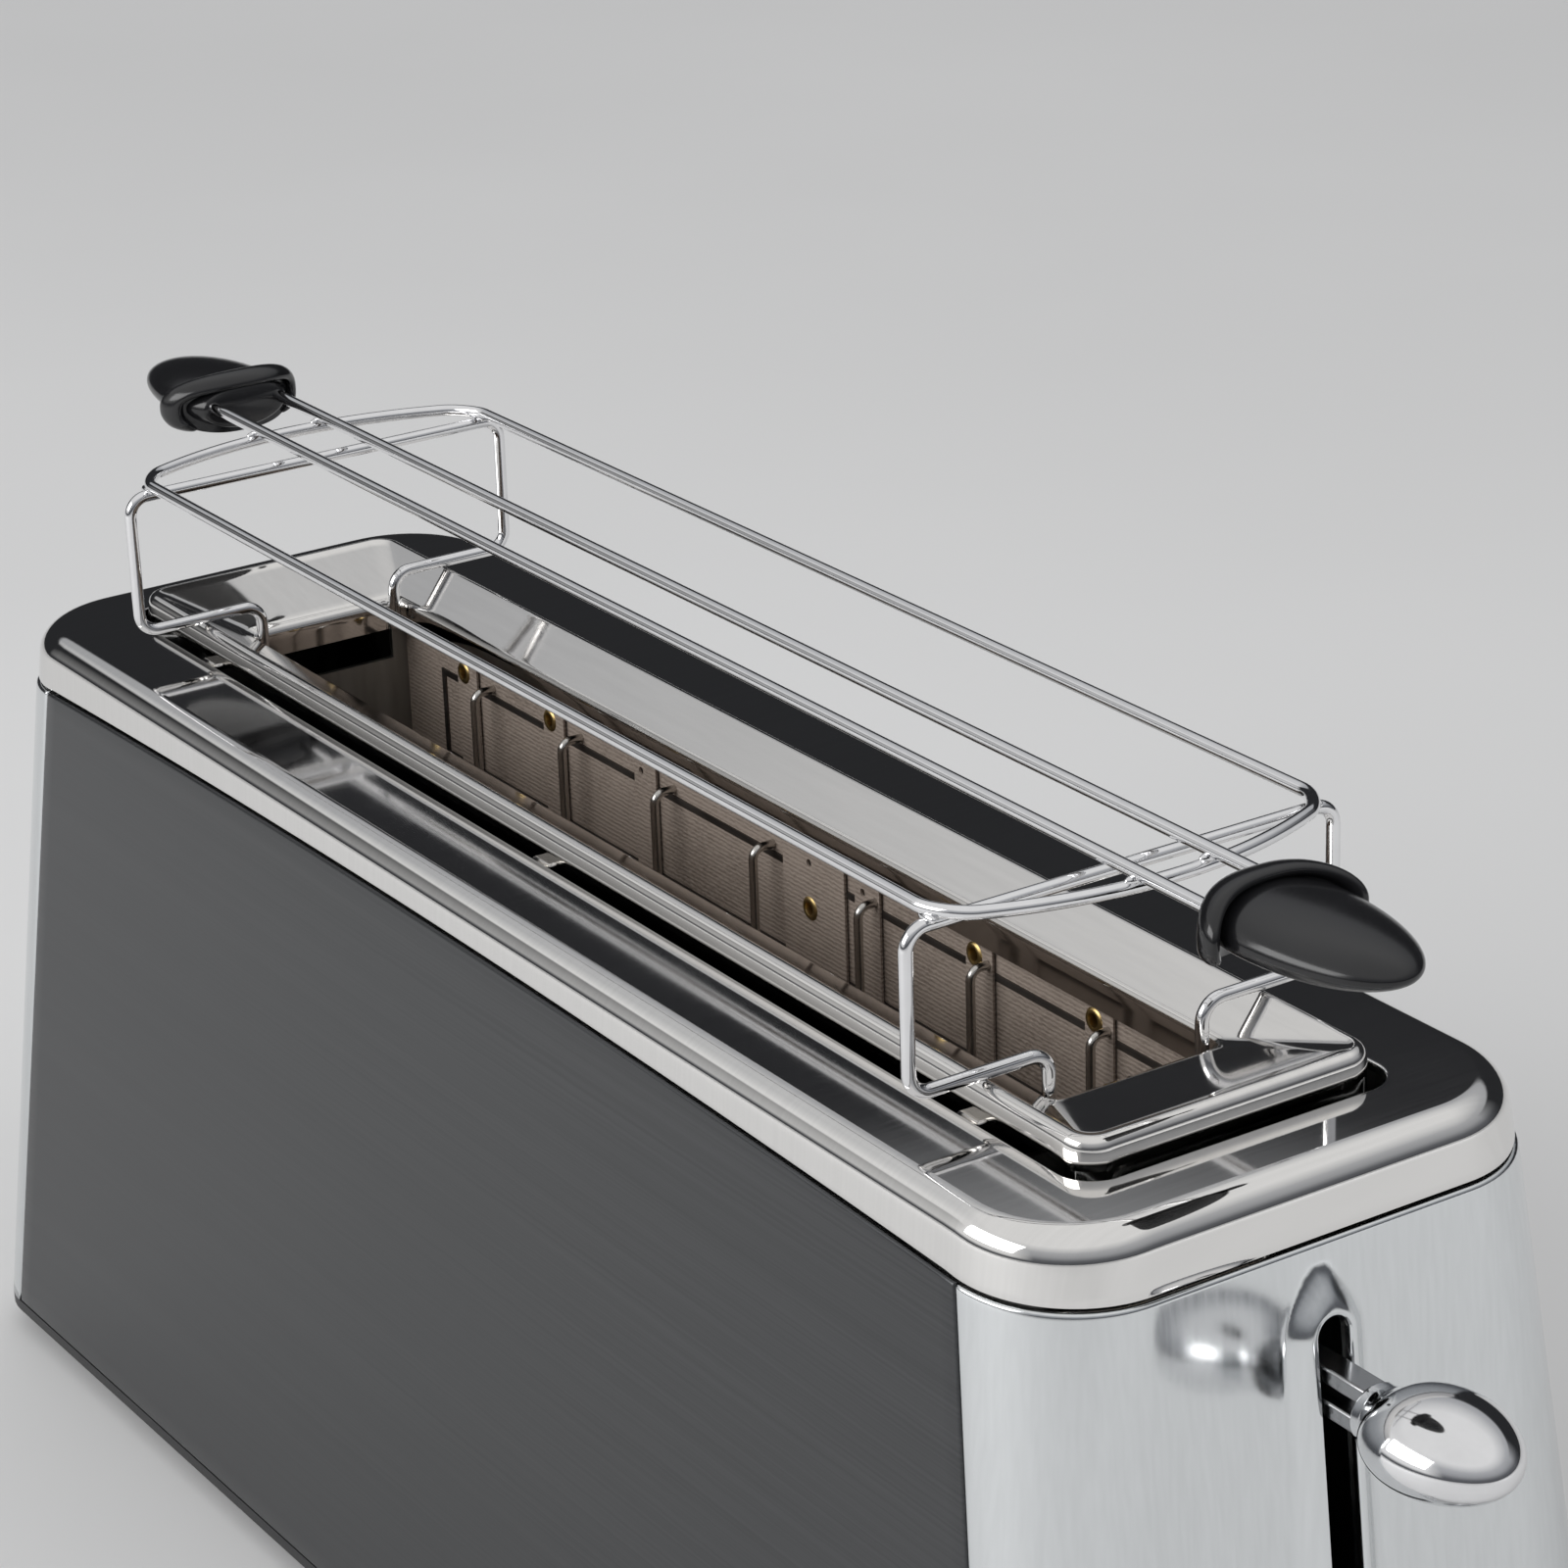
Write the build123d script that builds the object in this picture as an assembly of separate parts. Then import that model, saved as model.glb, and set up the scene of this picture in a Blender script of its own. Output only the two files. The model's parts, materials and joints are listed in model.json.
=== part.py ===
from build123d import *
import os
from math import atan, cos, sin

# Long-slot toaster with a lift-off warming rack.
# Axes: +X towards the lever end, +Y to the far side, +Z up; millimetres.
# Every piece is drawn about the middle of the body, standing on Z = 0.
# The whole set is shifted along X when it is written, to centre its box.

# Body skin: room past the slot's ends at the parting line, and the flare from there to the foot
end_room = 46.5
end_flare = 16.5
side_flare = 11.5
foot_corner_radius = 16.0
parting_corner_radius = 22.5
parting_rise = 3.0
panel_wall = 1.2
seam_gap = 0.4
parting_gap = 0.6

# Top cover
cover_height = 11.5
cover_wall = 1.6
cover_land = 22.0
cover_inset = 0.4
cover_edge_radius = 5.0
cover_tongue_wall = 1.4
cover_tongue_depth = 7.0
tongue_clearance = 0.3

# Slot bezel, and the gap that the cover's opening leaves round it
bezel_end_slope = 26.0
bezel_side_slope = 12.8
bezel_corner_radius = 6.0
bezel_rise = 5.5
bezel_depth = 6.5
bezel_rim_radius = 2.4
bezel_wall = 1.2
opening_end_gap = 2.8
opening_side_gap = 2.2
opening_corner_radius = 7.0
slot_length = 286.0
slot_width = 36.0
slot_corner_radius = 3.0
slot_edge_rise = 0.1
standoff_pitch = 137.0
standoff_width = 6.0
standoff_reach = 5.0
standoff_thickness = 1.5

# Base, feet and screws
base_bottom_z = 6.0
base_thickness = 2.5
base_rim_height = 8.0
base_rim_wall = 2.0
base_clearance = 0.3
foot_radius = 10.0
foot_edge_radius = 1.2
foot_peg_radius = 4.0
foot_end_inset = 34.0
foot_side_inset = 20.5
screw_radius = 1.8
screw_head_radius = 3.4
screw_head_height = 1.8
screw_slot_width = 1.0
screw_slot_depth = 0.8
screw_length = 9.0

# Chassis end plates, reflectors and heater boards
chassis_setback = 3.0
chassis_wall = 1.2
chassis_side_gap = 5.0
chassis_toe_length = 14.0
chassis_notch_depth = 8.0
board_setback = 3.5
board_wall = 1.0
board_bottom_gap = 17.5
board_top_gap = 1.0
reflector_gap = 8.0
reflector_wall = 0.8
ribbon_wall = 0.4
ribbon_height = 1.4
ribbon_passes = 7
ribbon_top_margin = 6.8
ribbon_bottom_margin = 20.0
ribbon_end_margin = 16.0
strip_wall = 0.5
strip_width = 8.2
lever_strip_shift = -2.8
cord_strip_shift = -9.8
middle_strip_width = 21.0
middle_strip_shift = 15.0
middle_eyelet_drop = 9.5
pin_hole_radius = 0.8
eyelet_radius = 1.6
eyelet_bore_radius = 0.9
eyelet_flange_radius = 2.6
eyelet_flange = 0.4
eyelet_drop = 3.4
eyelet_shift = -1.4
eyelets_per_end = 2

# Guard wires in front of each heater board
guard_pitch = 36.0
guard_per_side = 7
guard_setback = -1.4
guard_radius = 0.9
guard_end_margin = 4.0
guard_bend = 2.2

# Lever and carriage
lever_drop = 25.0
lever_rise = 42.0
lever_down_travel = 55.0
lever_up_travel = 6.0
lever_slot_width = 6.4
lever_slot_spare = 1.6
lip_height = 3.6
lip_width = 13.0
lip_margin = 2.5
lip_draft = 6.0
arm_width = 5.0
arm_gap = 3.0
arm_height = 9.0
arm_root_length = 4.0
arm_root_width = 11.0
knob_length = 31.5
knob_width = 24.5
knob_thickness = 16.5
knob_rise = 1.4
knob_grip = 6.0
knob_clearance = 2.0
carriage_gap = 2.8
carriage_wall = 2.0
carriage_half_width = 20.0
carriage_top_margin = 4.5
rod_radius = 2.5
rod_clearance = 0.3
rod_offset = 8.0
rod_side_gap = 0.5
bush_wall = 1.8
bush_length = 36.0
spring_outer_radius = 4.0
spring_wire = 1.0
spring_tab_thickness = 4.0
bracket_clearance = 4.0
bracket_thickness = 1.5
bracket_reach = 25.0

# Bread lifter
lifter_height = 10.0
lifter_wall = 2.5
lifter_slot_spare = 1.0
lifter_seat_margin = 2.0
finger_side_gap = 2.7
finger_radius = 1.2

# Hold-down magnet below the carriage
armature_length = 20.0
armature_width = 20.0
armature_thickness = 2.0
magnet_gap = 0.3
magnet_height = 19.2
magnet_core_radius = 3.5
coil_wall = 3.5
coil_setback = 4.0
yoke_thickness = 2.0

# Controls below the lever: a dial and three push buttons
control_rise = 31.5
dial_y = 24.0
dial_radius = 15.0
dial_height = 7.5
dial_clearance = 0.5
dial_edge_radius = 1.5
dial_grip_width = 5.0
dial_grip_height = 4.0
shaft_radius = 3.0
shaft_clearance = 0.3
shaft_engagement = 6.0
button_first_y = -8.0
button_pitch = 13.5
button_radius = 5.0
button_clearance = 0.4
button_proud = 3.0
button_travel = 2.5
button_edge_radius = 0.8
button_flange_margin = 1.4
button_flange = 1.6
button_stop_gap = 0.3
button_stem_radius = 2.0
button_names = ["cancel_button", "defrost_button", "reheat_button"]
board_depth = 12.0
pcb_wall = 1.6
pcb_height = 32.0
pcb_margin = 8.0
pot_wall = 4.7
pot_height = 7.0
switch_side = 6.0
switch_height = 4.0
post_radius = 2.4
post_inset = 4.0

# Crumb tray and its mouth in the cord end
tray_half_width = 33.0
tray_wall = 1.0
tray_height = 7.0
tray_lift = 0.3
tray_end_gap = 8.0
tray_clearance = 0.5
tray_front_proud = 1.2
tray_front_wall = 2.4
tray_grip_depth = 4.0
tray_grip_thickness = 2.5

# Cord inlet and terminal block
gland_y = -30.0
gland_rise = 25.5
gland_bore_radius = 3.6
gland_wall = 2.9
gland_flange_margin = 3.0
gland_flange = 3.0
gland_depth = 14.0
terminal_length = 24.0
terminal_width = 15.0
terminal_height = 12.0
terminal_end_gap = 1.8
terminal_side_gap = 2.0
terminal_edge_radius = 1.0
terminal_screw_radius = 2.2
terminal_screw_height = 1.2
terminal_pitch = 8.0

# Main switch beside the carriage
switch_block_inset = 11.0
switch_block_rise = 59.5
switch_block_depth = 9.0
switch_block_width = 10.0
switch_block_height = 14.0
leaf_length = 16.0
leaf_width = 4.0
leaf_wall = 0.5
leaf_pitch = 6.0

# Warming rack of bent wire
wire_radius = 1.25
rack_rise = 31.7
rack_overhang = 3.0
rack_half_width = 39.7
rack_bow = 10.0
rack_corner_radius = 6.0
rail_y = 7.6
leg_end_gap = 3.0
leg_overhang = 4.4
leg_bend_radius = 4.0
leg_clearance = 0.35
hook_side_gap = 2.0
hook_drop = 11.0

# Rack handles
handle_reach = 57.4
paddle_length = 40.0
paddle_width = 25.8
paddle_thickness = 10.8
paddle_drop = 0.7
guard_disc_setback = 6.0
guard_disc_width = 31.6
guard_disc_height = 14.2
guard_disc_radius = 6.0
guard_disc_wall = 3.0
guard_disc_curve = 38.0
rail_grip = 6.0

# Heights and places that follow from the sizes above
panel_foot_z = base_bottom_z + base_thickness
carriage_bottom_z = panel_foot_z + magnet_height + magnet_gap + lever_down_travel
lifter_bottom_z = carriage_bottom_z + lifter_seat_margin
lifter_top_z = lifter_bottom_z + lifter_height
lever_z = lifter_top_z + lever_rise
parting_z = lever_z + lever_drop
parting_length = slot_length + 2 * end_room
foot_length = parting_length + 2 * end_flare
bezel_length = slot_length + 2 * bezel_end_slope
bezel_width = slot_width + 2 * bezel_side_slope
opening_length = bezel_length + 2 * opening_end_gap
opening_width = bezel_width + 2 * opening_side_gap
parting_width = opening_width + 2 * cover_land
foot_width = parting_width + 2 * side_flare
panel_run = parting_z - panel_foot_z
end_slope = end_flare / panel_run
side_slope = side_flare / panel_run
corner_slope = (foot_corner_radius - parting_corner_radius) / panel_run
base_top_z = panel_foot_z
tray_floor_z = base_top_z + tray_lift
seam_x = parting_length / 2 - parting_corner_radius
arch_radius = (seam_x**2 + parting_rise**2) / (2 * parting_rise)
arch_top_z = parting_z + parting_rise
cover_top_z = parting_z + cover_height
cover_ceiling_z = cover_top_z - cover_wall
bezel_rim_z = cover_top_z + bezel_rise
bezel_bottom_z = cover_top_z - bezel_depth
slot_edge_z = cover_top_z + slot_edge_rise
chassis_x = slot_length / 2 + chassis_setback
chassis_face_x = chassis_x + chassis_wall
chassis_half_width = parting_width / 2 - chassis_side_gap
guard_y = slot_width / 2 + guard_setback
board_y = slot_width / 2 + board_setback
board_back_y = board_y + board_wall
board_bottom_z = base_top_z + board_bottom_gap
board_top_z = bezel_bottom_z - board_top_gap
reflector_y = board_back_y + reflector_gap
strip_y = board_y - ribbon_wall
strip_face_y = strip_y - strip_wall
guard_places = [guard_pitch * (i - (guard_per_side - 1) / 2) for i in range(guard_per_side)]
carriage_x = chassis_face_x + carriage_gap
carriage_face_x = carriage_x + carriage_wall
rod_x = carriage_face_x + rod_offset
rod_y = armature_width / 2 + rod_side_gap + rod_radius
leg_foot_z = bezel_rim_z + leg_clearance + wire_radius
rack_z = leg_foot_z + rack_rise
rail_z = rack_z + 2 * wire_radius
leg_top_z = rack_z - 2 * wire_radius
leg_x = slot_length / 2 - leg_end_gap
leg_half_width = rack_half_width + leg_overhang
rack_half_length = leg_x + rack_overhang
handle_tip_x = rack_half_length + rack_bow + handle_reach
control_z = panel_foot_z + control_rise
gland_z = panel_foot_z + gland_rise
far_out = 2 * foot_length
cut_over = 1.0
SIDES = {"near": -1, "far": 1}
ENDS = {"lever": 1, "cord": -1}

os.makedirs("parts", exist_ok=True)


def half_length(z):
    """Half the body's length at height z, on the straight flare."""
    return foot_length / 2 - end_slope * (z - panel_foot_z)


def half_width(z):
    """Half the body's width at height z, on the straight flare."""
    return foot_width / 2 - side_slope * (z - panel_foot_z)


def corner_radius(z):
    """Plan corner radius at height z."""
    return foot_corner_radius - corner_slope * (z - panel_foot_z)


knob_inner_x = half_length(lever_z - lever_down_travel) + lip_height + knob_clearance
knob_centre_x = knob_inner_x + knob_length / 2
knob_tip_x = knob_inner_x + knob_length
tray_reach = half_length(tray_floor_z) + tray_front_proud + tray_grip_depth
shift_x = (max(handle_tip_x, tray_reach) - knob_tip_x) / 2


def span(x0, x1, y0, y1, z0, z1):
    """A box given by its limits, in either order."""
    low = Vector(min(x0, x1), min(y0, y1), min(z0, z1))
    high = Vector(max(x0, x1), max(y0, y1), max(z0, z1))
    size = high - low
    return Pos((low + high) * 0.5) * Box(size.X, size.Y, size.Z)


def rounded_slab(length, width, radius, z0, z1):
    """A rounded rectangle about the Z axis, from z0 up to z1."""
    return extrude(Pos(0, 0, z0) * RectangleRounded(length, width, radius), z1 - z0)


def body_outline(z, inset):
    """The body's plan at height z, drawn in by inset."""
    length = 2 * (half_length(z) - inset)
    width = 2 * (half_width(z) - inset)
    return Pos(0, 0, z) * RectangleRounded(length, width, corner_radius(z) - inset)


def body_block(z0, z1, inset):
    """The flared body between two heights, drawn in by inset."""
    return loft([body_outline(z0, inset), body_outline(z1, inset)], ruled=True)


def arch_cylinder(offset):
    """Everything below the arched parting line, moved out by offset."""
    centre_z = arch_top_z - arch_radius
    return Pos(0, 0, centre_z) * Rot(90, 0, 0) * Cylinder(arch_radius + offset, far_out)


def seam_prism(offset):
    """The wedge between the two seams of a side panel, widened by offset."""
    low = panel_foot_z - cut_over
    high = cover_top_z
    low_x = half_length(low) - corner_radius(low) + offset
    high_x = half_length(high) - corner_radius(high) + offset
    outline = Polyline((-low_x, low), (low_x, low), (high_x, high), (-high_x, high), close=True)
    return extrude(Plane.XZ * make_face(outline), far_out, both=True)


def panel_plane(end, y, z):
    """A plane on an end panel's outer face, facing out, with its Y axis up the panel."""
    tilt = atan(end_slope)
    normal = Vector(end * cos(tilt), 0, sin(tilt))
    return Plane(origin=(end * half_length(z), y, z), x_dir=(0, end, 0), z_dir=normal)


def rod_on(plane, radius, z0, z1):
    """A cylinder along a plane's normal, from z0 to z1 above the plane."""
    return plane * Pos(0, 0, (z0 + z1) / 2) * Cylinder(radius, z1 - z0)


def outer_edges(solid, plane):
    """The edges of a solid that lie furthest out along a plane's normal."""
    return solid.edges().group_by(Axis(plane.origin, plane.z_dir))[-1]


def upright(radius, x, y, z0, z1):
    """A vertical cylinder from z0 to z1."""
    return Pos(x, y, (z0 + z1) / 2) * Cylinder(radius, z1 - z0)


def across(radius, x, z, y0, y1):
    """A cylinder along Y from y0 to y1, in either order."""
    return Pos(x, (y0 + y1) / 2, z) * Rot(90, 0, 0) * Cylinder(radius, abs(y1 - y0))


def ellipsoid(length, width, thickness):
    """A ball stretched to three full sizes."""
    return scale(Sphere(0.5), by=(length, width, thickness))


def wire_along(path, radius):
    """A round wire swept along a path of lines and arcs."""
    return sweep(Plane(origin=path @ 0, z_dir=path % 0) * Circle(radius), path=path)


def save(node, *pieces):
    """Write one node, shifted so that the part's box is centred in X."""
    solids = [Pos(shift_x, 0, 0) * solid for piece in pieces for solid in piece.solids()]
    shape = solids[0] if len(solids) == 1 else Compound(children=solids)
    export_step(shape, f"parts/{node}.step")


# Outer skin: one flared shell, cut at the seams and at the arched parting line
skin = body_block(panel_foot_z, cover_top_z, 0)
skin_hollow = body_block(panel_foot_z - cut_over, cover_top_z + cut_over, panel_wall)
below_parting = arch_cylinder(-parting_gap / 2)
panels = (skin - skin_hollow) & below_parting
side_band = panels & seam_prism(-seam_gap / 2)
end_band = panels - seam_prism(seam_gap / 2)

for side, sign in SIDES.items():
    save(f"{side}_side_panel", side_band & span(-far_out, far_out, 0, sign * far_out, 0, far_out))

# Lever end panel: a raised lip round the lever slot, and holes for the controls
slot_low_z = lever_z - lever_down_travel - arm_height / 2 - lever_slot_spare
slot_high_z = lever_z + lever_up_travel + arm_height / 2 + lever_slot_spare
slot_run = slot_high_z - slot_low_z
lip_plane = panel_plane(1, 0, (slot_low_z + slot_high_z) / 2)
lip_root = lip_plane.offset(-panel_wall) * SlotOverall(
    slot_run + 2 * (lip_margin + lip_draft), lip_width + 2 * lip_draft, rotation=90
)
lip_face = lip_plane.offset(lip_height) * SlotOverall(slot_run + 2 * lip_margin, lip_width, rotation=90)
lip = (loft([lip_root, lip_face]) - skin_hollow) & below_parting
slot_plane = Plane(origin=(0, 0, (slot_low_z + slot_high_z) / 2), x_dir=(0, 1, 0), z_dir=(1, 0, 0))
lever_slot = extrude(slot_plane * SlotOverall(slot_run, lever_slot_width, rotation=90), far_out)
lever_panel = (end_band & span(0, far_out, -far_out, far_out, 0, far_out)) + lip - lever_slot
dial_plane = panel_plane(1, dial_y, control_z)
hole_depth = panel_wall + cut_over
lever_panel -= rod_on(dial_plane, shaft_radius + shaft_clearance, -hole_depth, cut_over)
button_planes = [panel_plane(1, button_first_y - button_pitch * i, control_z) for i in range(3)]
for plane in button_planes:
    lever_panel -= rod_on(plane, button_radius + button_clearance, -hole_depth, cut_over)
save("lever_end_panel", lever_panel)

# Cord end panel: a hole for the cord inlet and a mouth for the crumb tray
tray_rim_z = tray_floor_z + tray_height
mouth_half_width = tray_half_width + tray_clearance
mouth_top_z = tray_rim_z + tray_clearance
tray_mouth = span(-far_out, 0, -mouth_half_width, mouth_half_width, base_top_z, mouth_top_z)
gland_plane = panel_plane(-1, gland_y, gland_z)
gland_body_radius = gland_bore_radius + gland_wall
cord_panel = end_band & span(-far_out, 0, -far_out, far_out, 0, far_out)
cord_panel -= rod_on(gland_plane, gland_body_radius, -hole_depth, cut_over)
save("cord_end_panel", cord_panel - tray_mouth)

# Top cover: rounded shell above the arch, with a tongue inside the panels
cover_low_z = parting_z - parting_rise
cover_outer = body_block(cover_low_z, cover_top_z, cover_inset)
cover_outer = fillet(cover_outer.edges().group_by(Axis.Z)[-1], cover_edge_radius)
cover_inner = body_block(cover_low_z - cut_over, cover_ceiling_z, cover_inset + cover_wall)
cover_inner = fillet(cover_inner.edges().group_by(Axis.Z)[-1], cover_edge_radius - cover_wall)
tongue_inset = panel_wall + tongue_clearance
tongue_low_z = parting_z - cover_tongue_depth
tongue_high_z = cover_top_z - cover_edge_radius
tongue = body_block(tongue_low_z, tongue_high_z, tongue_inset)
tongue -= body_block(tongue_low_z - cut_over, tongue_high_z + cut_over, tongue_inset + cover_tongue_wall)
opening = rounded_slab(opening_length, opening_width, opening_corner_radius, tongue_low_z, far_out)
save("top_cover", cover_outer - cover_inner - arch_cylinder(parting_gap / 2) + tongue - opening)

# Slot bezel: raised collar with a rolled rim and faces that slope in to the slot
bezel = rounded_slab(bezel_length, bezel_width, bezel_corner_radius, bezel_bottom_z, bezel_rim_z)
bezel = fillet(bezel.edges().group_by(Axis.Z)[-1], bezel_rim_radius)
funnel_inset = 2 * bezel_rim_radius
funnel_mouth = RectangleRounded(
    bezel_length - funnel_inset, bezel_width - funnel_inset, bezel_corner_radius - bezel_rim_radius
)
funnel_throat = RectangleRounded(slot_length, slot_width, slot_corner_radius)
bezel -= loft([Pos(0, 0, slot_edge_z) * funnel_throat, Pos(0, 0, bezel_rim_z) * funnel_mouth], ruled=True)
bezel -= rounded_slab(slot_length, slot_width, slot_corner_radius, bezel_bottom_z, slot_edge_z)
pocket_z = slot_edge_z - bezel_wall
wall_both = 2 * bezel_wall
pocket = rounded_slab(
    bezel_length - wall_both,
    bezel_width - wall_both,
    bezel_corner_radius - bezel_wall,
    bezel_bottom_z,
    pocket_z,
)
pocket -= rounded_slab(
    slot_length + wall_both,
    slot_width + wall_both,
    slot_corner_radius + bezel_wall,
    bezel_bottom_z,
    pocket_z,
)
save("slot_bezel", bezel - pocket)

# Standoffs that hold the bezel in the cover's opening
standoffs = []
standoff_y = opening_width / 2 + standoff_reach
standoff_low_z = cover_ceiling_z - standoff_thickness
for x in (-standoff_pitch, 0, standoff_pitch):
    left, right = x - standoff_width / 2, x + standoff_width / 2
    for sign in SIDES.values():
        inner = sign * bezel_width / 2
        standoffs.append(span(left, right, inner, sign * standoff_y, standoff_low_z, cover_ceiling_z))
save("bezel_standoffs", *standoffs)

# Base plate with an upstanding rim inside the panels
base_rim_z = base_top_z + base_rim_height
base_outline = Pos(0, 0, base_bottom_z - panel_foot_z) * body_outline(panel_foot_z, 0)
rim_inset = panel_wall + base_clearance
base_rim = body_block(base_top_z, base_rim_z, rim_inset)
base_rim -= body_block(base_top_z - cut_over, base_rim_z + cut_over, rim_inset + base_rim_wall)
base = extrude(base_outline, base_thickness) + base_rim - tray_mouth
foot_x = foot_length / 2 - foot_end_inset
foot_y = foot_width / 2 - foot_side_inset
screw_x = chassis_face_x + chassis_toe_length / 2
screw_y = (mouth_half_width + chassis_half_width) / 2
foot_places = [(x, y) for x in (-foot_x, foot_x) for y in (-foot_y, foot_y)]
screw_places = [(x, y) for x in (-screw_x, screw_x) for y in (-screw_y, screw_y)]
for x, y in foot_places:
    base -= upright(foot_peg_radius, x, y, base_bottom_z, base_top_z)
for x, y in screw_places:
    base -= upright(screw_radius, x, y, base_bottom_z, base_top_z)
save("base_plate", base)

feet = []
for x, y in foot_places:
    pad = upright(foot_radius, x, y, 0, base_bottom_z)
    pad = fillet(pad.edges().group_by(Axis.Z)[0], foot_edge_radius)
    feet.append(pad + upright(foot_peg_radius, x, y, base_bottom_z, base_top_z))
save("rubber_feet", *feet)

# Chassis end plates: notched for bread, lifter and tray, with toes screwed to the base
toe_top_z = base_top_z + chassis_wall
lifter_low_z = lifter_bottom_z - lever_down_travel - lifter_slot_spare
lifter_high_z = lifter_top_z + finger_radius + lever_up_travel + lifter_slot_spare
lifter_slot = lifter_wall / 2 + lifter_slot_spare
for end, sign in ENDS.items():
    inner, outer = sign * chassis_x, sign * chassis_face_x
    plate = span(inner, outer, -chassis_half_width, chassis_half_width, base_top_z, bezel_bottom_z)
    plate -= span(inner, outer, -lifter_slot, lifter_slot, lifter_low_z, lifter_high_z)
    plate -= span(inner, outer, -mouth_half_width, mouth_half_width, base_top_z, mouth_top_z)
    notch_z = bezel_bottom_z - chassis_notch_depth
    plate -= span(inner, outer, -slot_width / 2, slot_width / 2, notch_z, bezel_bottom_z)
    toe = sign * (chassis_face_x + chassis_toe_length)
    for side_sign in SIDES.values():
        low, high = side_sign * mouth_half_width, side_sign * chassis_half_width
        plate += span(outer, toe, low, high, base_top_z, toe_top_z)
    for x, y in screw_places:
        plate -= upright(screw_radius, x, y, base_top_z, toe_top_z)
    save(f"{end}_end_chassis_plate", plate)

screws = []
head_low_z = base_bottom_z - screw_head_height
for x, y in screw_places:
    head = upright(screw_head_radius, x, y, head_low_z, base_bottom_z)
    left, right = x - screw_head_radius, x + screw_head_radius
    front, back = y - screw_slot_width / 2, y + screw_slot_width / 2
    head -= span(left, right, front, back, head_low_z, head_low_z + screw_slot_depth)
    screws.append(head + upright(screw_radius, x, y, base_bottom_z, base_bottom_z + screw_length))
save("base_screws", *screws)

# Heater side of the slot: reflector, mica board, ribbon, strips, eyelets and guard wires
ribbon_end = chassis_x - ribbon_end_margin
ribbon_low_z = board_bottom_z + ribbon_bottom_margin
ribbon_step = (board_top_z - ribbon_top_margin - ribbon_low_z) / (ribbon_passes - 1)
eyelet_z = board_top_z - eyelet_drop
cord_strips = [x + cord_strip_shift for x in guard_places if x < 0]
lever_strips = [x + lever_strip_shift for x in guard_places if x > 0]
end_strips = cord_strips[:eyelets_per_end] + lever_strips[-eyelets_per_end:]
inner_strips = cord_strips[eyelets_per_end:] + lever_strips[:-eyelets_per_end]
eyelet_places = [(x + eyelet_shift, eyelet_z) for x in end_strips]
eyelet_places.append((middle_strip_shift + eyelet_shift, eyelet_z - middle_eyelet_drop))
pin_places = [(x + eyelet_shift, eyelet_z) for x in inner_strips + [middle_strip_shift]]
eyelet_back_y = board_back_y + eyelet_flange
eyelet_front_y = strip_face_y - eyelet_flange
guard_low_z = board_bottom_z + guard_end_margin
guard_high_z = board_top_z - guard_end_margin
guard_ends = [(x, z) for x in guard_places for z in (guard_low_z, guard_high_z)]
for side, sign in SIDES.items():
    front, back = sign * reflector_y, sign * (reflector_y + reflector_wall)
    save(f"{side}_reflector", span(-chassis_x, chassis_x, front, back, board_bottom_z, board_top_z))

    front, back = sign * board_y, sign * board_back_y
    board = span(-chassis_x, chassis_x, front, back, board_bottom_z, board_top_z)
    for x, z in eyelet_places:
        board -= across(eyelet_radius, x, z, front, back)
    save(f"{side}_heater_board", board)

    front, back = sign * strip_y, sign * board_y
    bands = []
    for i in range(ribbon_passes):
        z = ribbon_low_z + i * ribbon_step
        bands.append(span(-ribbon_end, ribbon_end, front, back, z, z + ribbon_height))
        turn = ribbon_end * (-1) ** i
        if i < ribbon_passes - 1:
            inner_turn = turn - ribbon_height * (-1) ** i
            bands.append(span(inner_turn, turn, front, back, z, z + ribbon_step + ribbon_height))
    save(f"{side}_heater_ribbon", bands[0].fuse(*bands[1:]).clean())

    front, back = sign * strip_face_y, sign * strip_y
    strip_sizes = [(x, strip_width) for x in cord_strips + lever_strips]
    strip_sizes.append((middle_strip_shift, middle_strip_width))
    strips = []
    for x, width in strip_sizes:
        strip = span(x - width / 2, x + width / 2, front, back, board_bottom_z, board_top_z)
        for hole_x, hole_z in eyelet_places:
            strip -= across(eyelet_radius, hole_x, hole_z, front, back)
        for hole_x, hole_z in pin_places:
            strip -= across(pin_hole_radius, hole_x, hole_z, front, back)
        for hole_x, hole_z in guard_ends:
            strip -= across(guard_radius, hole_x, hole_z, front, back)
        strips.append(strip)
    eyelets = []
    for x, z in eyelet_places:
        eyelet = across(eyelet_flange_radius, x, z, sign * eyelet_front_y, front)
        eyelet += across(eyelet_radius, x, z, front, sign * eyelet_back_y)
        eyelet -= across(eyelet_bore_radius, x, z, sign * eyelet_front_y, sign * eyelet_back_y)
        eyelets.append(eyelet)
    wires = []
    for x in guard_places:
        route = FilletPolyline(
            (x, sign * board_y, guard_low_z),
            (x, sign * guard_y, guard_low_z),
            (x, sign * guard_y, guard_high_z),
            (x, sign * board_y, guard_high_z),
            radius=guard_bend,
        )
        wires.append(wire_along(route, guard_radius))
    save(f"{side}_mica_strips", *strips)
    save(f"{side}_brass_eyelets", *eyelets)
    save(f"{side}_guard_wires", *wires)

# Bread lifter: a rail with cross fingers between the guard wires
half_wall = lifter_wall / 2
lifter = span(-carriage_x, carriage_x, -half_wall, half_wall, lifter_bottom_z, lifter_top_z)
finger_places = [x - guard_pitch / 2 for x in guard_places] + [guard_places[-1] + guard_pitch / 2]
finger_end = guard_y - guard_radius - finger_side_gap
for x in finger_places:
    lifter += across(finger_radius, x, lifter_top_z, -finger_end, finger_end)
save("bread_lifter", lifter)

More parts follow.
